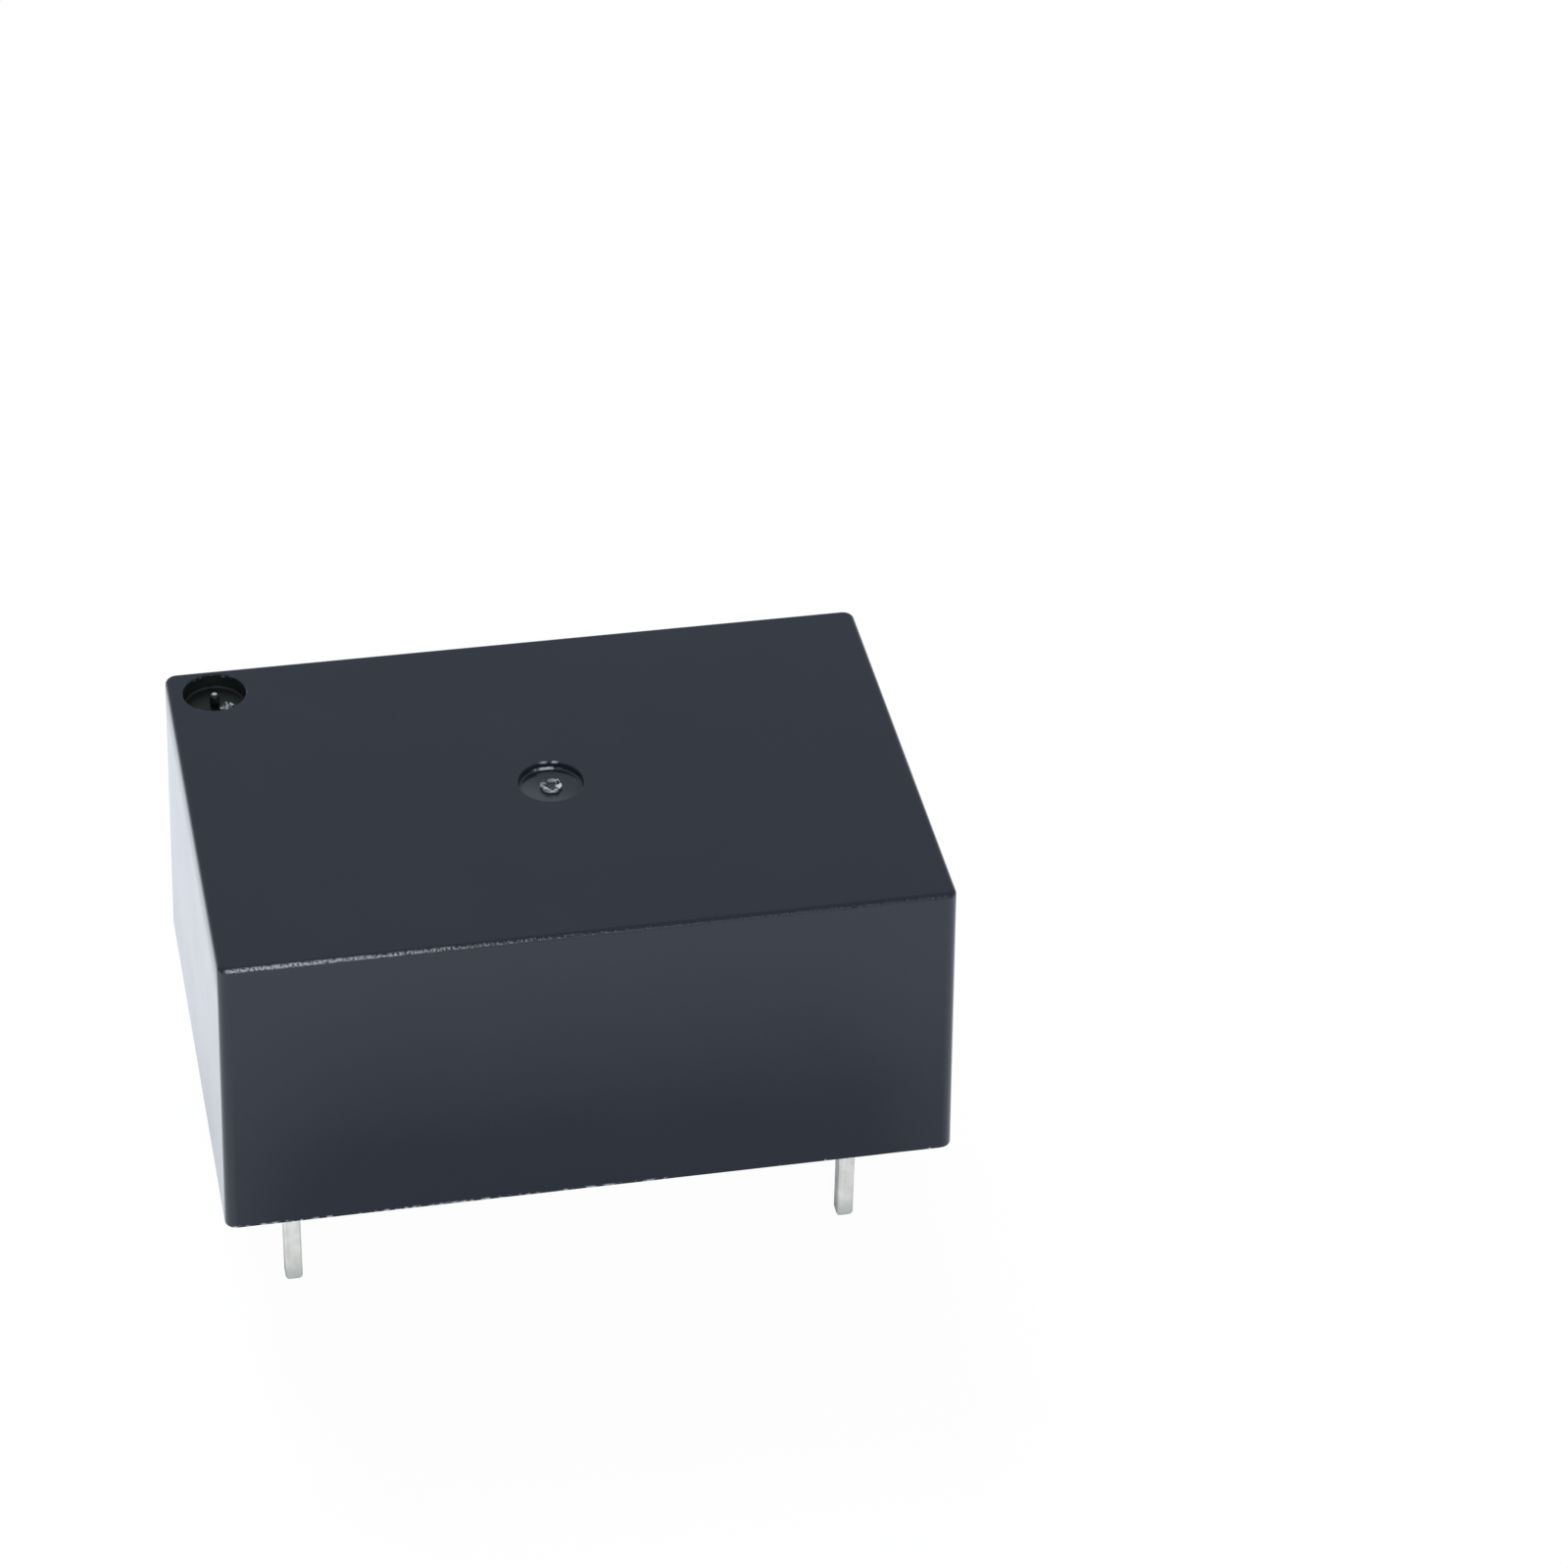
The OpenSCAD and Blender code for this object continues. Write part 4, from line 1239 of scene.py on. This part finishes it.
@dataclass
class Resin:
    """Cast resin that fills the rim, wets its edge and climbs a little at the pins."""

    cell: float = 0.11
    skin: float = 0.012
    margin: float = 0.04
    wall: float = 0.8
    corner: float = 0.35
    rim: float = 0.3
    sink: float = 0.13
    climb: float = 0.16
    reach: float = 0.28
    wave: float = 0.03
    trench: float = 0.32
    panel_end: float = 9.1
    panel_front: float = -5.5
    panel_rear: float = 5.9
    right_trench: Pair = (-1.45, 3.85)
    front_trench: Pair = (-5.1, 5.1)
    rear_trench: Pair = (-4.47, -3.17)
    left_trenches: Triple = (-0.15, 1.2, 2.55)
    left_length: float = 0.8
    dimple: float = 1.4
    lap: float = 0.05
    past: float = 1.0
    over: float = 1.01
    ripple: float = 0.9
    ripple_seed: float = 3.1
    wave_least: float = 0.15
    tool_below: float = 0.5
    tool_left: float = 0.02
    tool_cuts: int = 7
    ragged: float = 0.035
    look: Plastic = Plastic("sealing_resin", (0.0090, 0.0086, 0.0086), roughness=0.42, grain=5.0, depth=0.006,
                            marks=0.1, shine=0.28, dust=0.3, haze=0.03)

    def surface(self, point: Vector, half: Vector, pins: list[tuple[Vector, Vector]]) -> float:
        """Height of the resin's lower face.

        Args:
            point: place in plan.
            half: half length and half width of the resin.
            pins: lowest and highest corner of each pin's section in plan.

        Returns:
            Height in millimetres.
        """
        inside = min(half.x - abs(point.x), half.y - abs(point.y))
        share = min(max((inside - self.wall) / self.wall, 0.0), 1.0)
        height = self.rim - self.skin + (self.sink + self.skin) * share * share * (3 - 2 * share)
        place = Vector((point.x * self.ripple, point.y * self.ripple, self.ripple_seed))
        height += self.wave * (self.wave_least + share) * noise.noise(place)
        for low, high in pins:
            gap = math.hypot(max(low.x - point.x, 0, point.x - high.x),
                             max(low.y - point.y, 0, point.y - high.y))
            height -= self.climb * math.exp(-((gap / self.reach) ** 2))
        return height

    def build(self, shell: Piece) -> Piece:
        """Model the resin.

        Args:
            shell: finished cover, which the resin fits.

        Returns:
            The finished resin.
        """
        roof = span("sealant")[1].z
        half = span("cover")[1] - Vector((self.margin, self.margin, 0))
        resin = self.slab(half, roof)
        outline = block("resin_outline", (-half.x, -half.y, -self.past), (half.x, half.y, roof + self.past))
        with picked(outline, Element.EDGE, lambda points: abs(points[0].z - points[1].z) > self.past):
            bevel(self.corner, 5)
        combine(resin, outline, Cut.WITHIN)
        combine(resin, self.cutter(shell), Cut.AWAY)
        for name in ("base", *PINS):
            combine(resin, copied(name, "resin_cutter"), Cut.AWAY)
        for low, high in self.trenches():
            combine(resin, self.trench_tool(low, high, roof), Cut.AWAY)
        combine(resin, rod("dimple_tool", (*GATE, -self.past), self.dimple, roof + 2 * self.past), Cut.AWAY)
        with picked(resin, Element.FACE, level(roof)):
            bpy.ops.mesh.dissolve_limited(angle_limit=FLAT)
        shade(resin, 40)
        return resin

    def slab(self, half: Vector, roof: float) -> Piece:
        """Slab of resin with its poured face below and a flat face at the base's plate.

        Args:
            half: half length and half width of the resin.
            roof: height of its flat upper face.

        Returns:
            The closed slab.
        """
        pins = [self.section(name) for name in PINS]
        bpy.ops.object.select_all(action="DESELECT")
        bpy.ops.mesh.primitive_grid_add(x_subdivisions=int(2 * half.x / self.cell),
                                        y_subdivisions=int(2 * half.y / self.cell), size=2 * self.over * MM)
        bpy.context.object.scale = (half.x, half.y, 1)
        slab = started("sealing_resin")
        for vertex in slab.data.vertices:
            vertex.co.z = self.surface(vertex.co / MM, half, pins) * MM
        with picked(slab, Element.FACE, everything):
            bpy.ops.mesh.extrude_region_move(TRANSFORM_OT_translate={"value": (0, 0, 2 * MM)})
            bpy.ops.transform.resize(value=(1, 1, 0), center_override=(0, 0, roof * MM))
        with picked(slab, Element.FACE, everything):
            bpy.ops.mesh.normals_make_consistent(inside=False)
        return slab

    def section(self, name: str) -> tuple[Vector, Vector]:
        """Lowest and highest corner in plan of a pin where it leaves the resin."""
        points = [v.co / MM for v in frame["nodes"][name].data.vertices if v.co.z < 0]
        return (Vector((min(p.x for p in points), min(p.y for p in points))),
                Vector((max(p.x for p in points), max(p.y for p in points))))

    def cutter(self, shell: Piece) -> Piece:
        """Copy of the finished cover, to cut the resin with.

        Args:
            shell: finished cover.

        Returns:
            The copy.
        """
        only(shell)
        bpy.ops.object.duplicate(linked=False)
        return bpy.context.object

    def trenches(self) -> Iterator[tuple[Pair, Pair]]:
        """Open trenches along the panel.

        Returns:
            Lowest and highest corner in plan of each one.
        """
        end = self.panel_end
        first, last = self.right_trench
        yield (end - self.lap, first), (end + self.trench, last)
        first, last = self.front_trench
        yield (first, self.panel_front - self.trench), (last, self.panel_front + self.lap)
        first, last = self.rear_trench
        yield (first, self.panel_rear - self.lap), (last, self.panel_rear + self.trench)
        for y in self.left_trenches:
            yield (-end - self.trench, y - self.left_length / 2), (self.lap - end, y + self.left_length / 2)

    def trench_tool(self, low: Sequence[float], high: Sequence[float], roof: float) -> Piece:
        """Ragged bar that cuts one trench.

        Args:
            low: lowest corner in plan.
            high: highest corner in plan.
            roof: height of the trench's end.

        Returns:
            The bar.
        """
        tool = block("trench_tool", (*low, -self.tool_below), (*high, roof - self.tool_left))
        with picked(tool, Element.FACE, everything):
            bpy.ops.mesh.subdivide(number_cuts=self.tool_cuts)
            seed = int(10 * abs(low[1])) + 1
            bpy.ops.transform.vertex_random(offset=self.ragged * MM, uniform=0.0, seed=seed)
        return tool


@dataclass
class Coil:
    """Bobbin with its winding, film, leads and solder joints."""

    edge: float = 0.06
    wire: float = 0.15
    thin_edge: float = 0.02
    sunk: float = 0.55
    skin: float = 0.9
    bobbin_look: Plastic = Plastic("bobbin_plastic", (0.72, 0.69, 0.60), roughness=0.45, grain=10.0,
                                   depth=0.003, marks=0.2, lift=1.06)
    film_look: Plastic = Plastic("coil_film", (0.62, 0.40, 0.06), roughness=0.22, grain=4.0, depth=0.004,
                                 marks=0.2, lift=1.15)
    wire_look: Metal = Metal("magnet_wire", (0.62, 0.25, 0.09), (0.42, 0.15, 0.05), roughness=0.22, scale=1.5)
    solder_look: Metal = Metal("solder", (0.70, 0.70, 0.71), (0.50, 0.50, 0.52), roughness=0.2, scale=2.5,
                               depth=0.006)

    def dress(self, shop: Workshop) -> None:
        """Build and hand over the coil's pieces.

        Args:
            shop: workshop that takes them.
        """
        shop.dress("bobbin", "bobbin_moulding", self.edge, self.bobbin_look, "bobbin_plastic")
        shop.hand_over(self.winding(), self.wire_look, "magnet_wire", nodes=("winding",))
        shop.dress("coil_tape", "coil_film", self.thin_edge, self.film_look, "coil_tape")
        for side in ("left", "right"):
            name = "coil_lead_" + side
            shop.dress("lead_wire_" + side, name, self.thin_edge, self.wire_look, "magnet_wire")
        shop.dress("solder_joints", "solder_fillets", self.edge, self.solder_look, "solder")

    def winding(self) -> Piece:
        """Model the winding: turns of wire side by side on a solid core of wire.

        Returns:
            The finished winding.
        """
        low, high = span("winding")
        radius = (high.z - low.z) / 2
        axis = (low + high) / 2
        turns = int((high.x - low.x) / self.wire)
        bpy.ops.object.select_all(action="DESELECT")
        bpy.ops.mesh.primitive_torus_add(
            major_segments=44, minor_segments=6, major_radius=(radius - self.wire / 2) * MM,
            minor_radius=self.wire / 2 * MM, rotation=(0, math.pi / 2, 0),
            location=Vector((low.x + self.wire / 2, axis.y, axis.z)) * MM)
        coil = started("winding_turns")
        pitch = (high.x - low.x - self.wire) / (turns - 1)
        modify(coil, "ARRAY", count=turns, use_relative_offset=False, use_constant_offset=True,
               constant_offset_displace=(pitch * MM, 0, 0))
        body = copied("winding", "winding_body")
        share = 1 - self.sunk * self.wire / radius
        outer = self.skin * radius
        with picked(body, Element.VERT, lambda points: math.dist(points[0].yz, axis.yz) > outer):
            bpy.ops.transform.resize(value=(1, share, share), center_override=axis * MM)
        coil.select_set(True)
        bpy.context.view_layer.objects.active = coil
        body.select_set(True)
        bpy.ops.object.join()
        only(coil)
        bpy.ops.object.shade_smooth_by_angle(angle=math.radians(40))
        return coil


@dataclass
class Magnet:
    """Core, yoke and armature with the pusher and the hinge spring."""

    edge: float = 0.07
    leaf_edge: float = 0.02
    iron_look: Metal = Metal("soft_iron", (0.56, 0.57, 0.58), (0.42, 0.43, 0.44), roughness=0.32,
                             scale=1.4)
    leaf_look: Metal = Metal("spring_bronze", (0.68, 0.46, 0.22), (0.52, 0.33, 0.14), roughness=0.24,
                             scale=1.8)
    pusher_look: Plastic = Plastic("pusher_plastic", (0.78, 0.76, 0.70), roughness=0.42, grain=12.0,
                                   depth=0.003, marks=0.2, lift=1.05)
    bend: Pair = (-0.6, 0.9)
    cuts: int = 10

    def dress(self, shop: Workshop) -> None:
        """Build and hand over the magnet's pieces.

        Args:
            shop: workshop that takes them.
        """
        for node, body in (("core", "housing"), ("yoke", "housing"), ("armature", "armature")):
            shop.dress(node, node + "_iron", self.edge, self.iron_look, "soft_iron", body)
        shop.dress("pusher", "pusher_moulding", self.edge, self.pusher_look, "pusher_plastic", "armature")
        hinge = pivot("armature_pivot")
        leaf = leaf_copy("hinge_spring", "hinge_leaf", self.leaf_edge, hinge.x / MM, self.bend, self.cuts)
        shop.hand_over(leaf, self.leaf_look, "spring_bronze", "", ("hinge_spring",))
        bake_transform(leaf)


@dataclass
class Contacts:
    """Contact spring with its rivets, and the two contacts."""

    edge: float = 0.04
    leaf_edge: float = 0.02
    leaf_look: Metal = Metal("spring_copper", (0.72, 0.38, 0.20), (0.56, 0.27, 0.13), roughness=0.24,
                             scale=1.6)
    rivet_look: Metal = Metal("rivet_brass", (0.66, 0.47, 0.20), (0.50, 0.34, 0.13), roughness=0.28,
                              scale=2.2)
    silver_look: Metal = Metal("contact_silver", (0.80, 0.79, 0.76), (0.62, 0.60, 0.57), roughness=0.2,
                               scale=2.6)
    bend: Pair = (-1.25, 1.25)
    cuts: int = 14

    def dress(self, shop: Workshop) -> None:
        """Build and hand over the contacts' pieces.

        Args:
            shop: workshop that takes them.
        """
        flex = pivot("contact_flex")
        leaf = leaf_copy("contact_spring", "contact_leaf", self.leaf_edge, flex.x / MM, self.bend, self.cuts)
        shop.hand_over(leaf, self.leaf_look, "spring_copper", "", ("contact_spring",))
        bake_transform(leaf)
        shop.dress("spring_rivets", "leaf_rivets", self.edge, self.rivet_look, "spring_bronze")
        for node, body in (("moving_contact", "contact_blade"), ("fixed_contact", "housing")):
            shop.dress(node, node + "_silver", self.edge, self.silver_look, "contact_silver", body)


def leaf_copy(node: str, name: str, edge: float, middle: float, bend: Pair, cuts: int) -> Piece:
    """Copy a leaf spring, with cross cuts along the stretch that bends.

    Args:
        node: name of the CAD node.
        name: name of the copy.
        edge: radius of its edges.
        middle: place of its joint along X.
        bend: start and end of the stretch, from the joint.
        cuts: number of cross cuts.

    Returns:
        The finished leaf.
    """
    leaf = copied(node, name)
    ease(leaf, edge)
    first = middle + bend[0]
    last = middle + bend[1]
    for i in range(cuts):
        x = first + (last - first) * i / (cuts - 1)
        with picked(leaf, Element.FACE, everything):
            bpy.ops.mesh.bisect(plane_co=(x * MM, 0, 0), plane_no=(1, 0, 0))
    shade(leaf)
    return leaf


@dataclass
class Pins:
    """The four tinned pins, with the plates that two of them carry."""

    edge: float = 0.06
    look: TinnedPin = TinnedPin("tinned_copper", (0.94, 0.93, 0.88), (0.75, 0.74, 0.69), metallic=0.5,
                                scale=1.6, depth=0.001)

    def dress(self, shop: Workshop) -> None:
        """Build and hand over each pin."""
        for node in PINS:
            shop.dress(node, node + "_plated", self.edge, self.look, "tinned_copper")


# Table, light and camera

@dataclass(frozen=True)
class Lamp:
    """Square soft lamp that points at the relay."""

    name: str
    place: Triple
    size: float
    power: float
    mirrored: bool = False

    def hang(self) -> None:
        """Hang the lamp at its place, seen in glossy surfaces or not."""
        data = bpy.data.lights.new(self.name, "AREA")
        data.size = self.size * MM
        data.energy = self.power
        lamp = bpy.data.objects.new(self.name, data)
        bpy.context.scene.collection.objects.link(lamp)
        lamp.location = Vector(self.place) * MM
        lamp.rotation_euler = (-Vector(self.place)).to_track_quat("-Z", "Y").to_euler()
        lamp.visible_glossy = self.mirrored


@dataclass
class Studio:
    """White table, soft light and the camera."""

    lens: float = 116.46
    eye: Triple = (-19.836, -123.42, 101.53)
    right: Triple = (0.9799, -0.198, 0.0231)
    up: Triple = (0.0988, 0.5829, 0.8065)
    back: Triple = (-0.1731, -0.788, 0.5908)
    clip: Pair = (1.0, 5000.0)
    table: float = 1200.0
    paper: Triple = (0.80, 0.84, 0.90)
    white: Triple = (1.0, 1.0, 1.0)
    table_glow: float = 0.97
    table_gloss: float = 0.1
    room: Triple = (0.95, 0.97, 1.0)
    room_power: float = 0.5
    lamps: tuple[Lamp, ...] = (
        Lamp("front_lamp", (10, -400, 160), 60, 0.75),
        Lamp("edge_lamp", (10, -400, 160), 60, 0.25, mirrored=True),
        Lamp("rear_lamp", (-50, 310, 340), 200, 2.45),
    )

    def camera(self) -> None:
        """Set up the camera."""
        data = bpy.data.cameras.new("camera")
        data.lens = self.lens
        data.clip_start = self.clip[0] * MM
        data.clip_end = self.clip[1] * MM
        camera = bpy.data.objects.new("camera", data)
        bpy.context.scene.collection.objects.link(camera)
        turn = Matrix((self.right, self.up, self.back)).transposed().to_4x4()
        camera.matrix_world = Matrix.Translation(Vector(self.eye) * MM) @ turn
        bpy.context.scene.camera = camera

    def floor(self, height: float) -> None:
        """Lay the white table, which shows white to the camera and keeps a soft shadow.

        Args:
            height: height of the table's surface.
        """
        bpy.ops.object.select_all(action="DESELECT")
        bpy.ops.mesh.primitive_plane_add(size=self.table * MM, location=(0, 0, height * MM))
        floor = started("table")
        material = bpy.data.materials.new("white_table")
        material.use_nodes = True
        tree = material.node_tree
        board = Board(tree)
        tree.nodes.remove(tree.nodes["Principled BSDF"])
        paper = board.add("BsdfDiffuse", {"Color": self.paper})
        glow = board.add("Emission", {"Color": self.white, "Strength": 1.0})
        path = board.add("LightPath").outputs
        seen = board.math("MAXIMUM", path["Is Camera Ray"], path["Is Transmission Ray"])
        seen = board.ramp(seen, self.table_glow, board.times(path["Is Glossy Ray"], self.table_gloss))
        lit = board.add("MixShader", {0: seen, 1: paper.outputs[0], 2: glow.outputs[0]})
        behind = board.add("NewGeometry").outputs["Backfacing"]
        clear = board.add("BsdfTransparent")
        shown = board.add("MixShader", {0: behind, 1: lit.outputs[0], 2: clear.outputs[0]})
        tree.links.new(shown.outputs[0], tree.nodes["Material Output"].inputs["Surface"])
        floor.data.materials.append(material)

    def light(self) -> None:
        """Light the room evenly, show it white to the camera, and hang the lamps."""
        world = bpy.data.worlds.new("room")
        world.use_nodes = True
        bpy.context.scene.world = world
        tree = world.node_tree
        board = Board(tree)
        room = tree.nodes["Background"]
        board.join(self.room, room.inputs["Color"])
        board.join(self.room_power, room.inputs["Strength"])
        white = board.add("Background", {"Color": self.white, "Strength": 1.0})
        path = board.add("LightPath").outputs
        shown = board.add("MixShader", {0: path["Is Camera Ray"], 1: room.outputs[0], 2: white.outputs[0]})
        tree.links.new(shown.outputs[0], tree.nodes["World Output"].inputs["Surface"])
        for lamp in self.lamps:
            lamp.hang()


def main() -> None:
    """Build the relay's pieces in order, dress them and set the scene."""
    logging.basicConfig(level=logging.INFO, format="%(name)s %(message)s")
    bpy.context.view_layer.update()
    shop = Workshop(Effects())
    cover = Cover()
    shell = cover.build()
    resin = Resin()
    shop.hand_over(resin.build(shell), resin.look, "sealant", nodes=("sealant",))
    Underside().dress(shop)
    Pins().dress(shop)
    shop.hand_over(shell, cover.look, "cover_plastic", nodes=("cover",))
    Coil().dress(shop)
    Magnet().dress(shop)
    Contacts().dress(shop)
    studio = Studio()
    studio.camera()
    studio.floor(span(PINS[0])[0].z)
    studio.light()
    bpy.context.scene.view_settings.view_transform = "Standard"


if __name__ == "__main__":
    main()
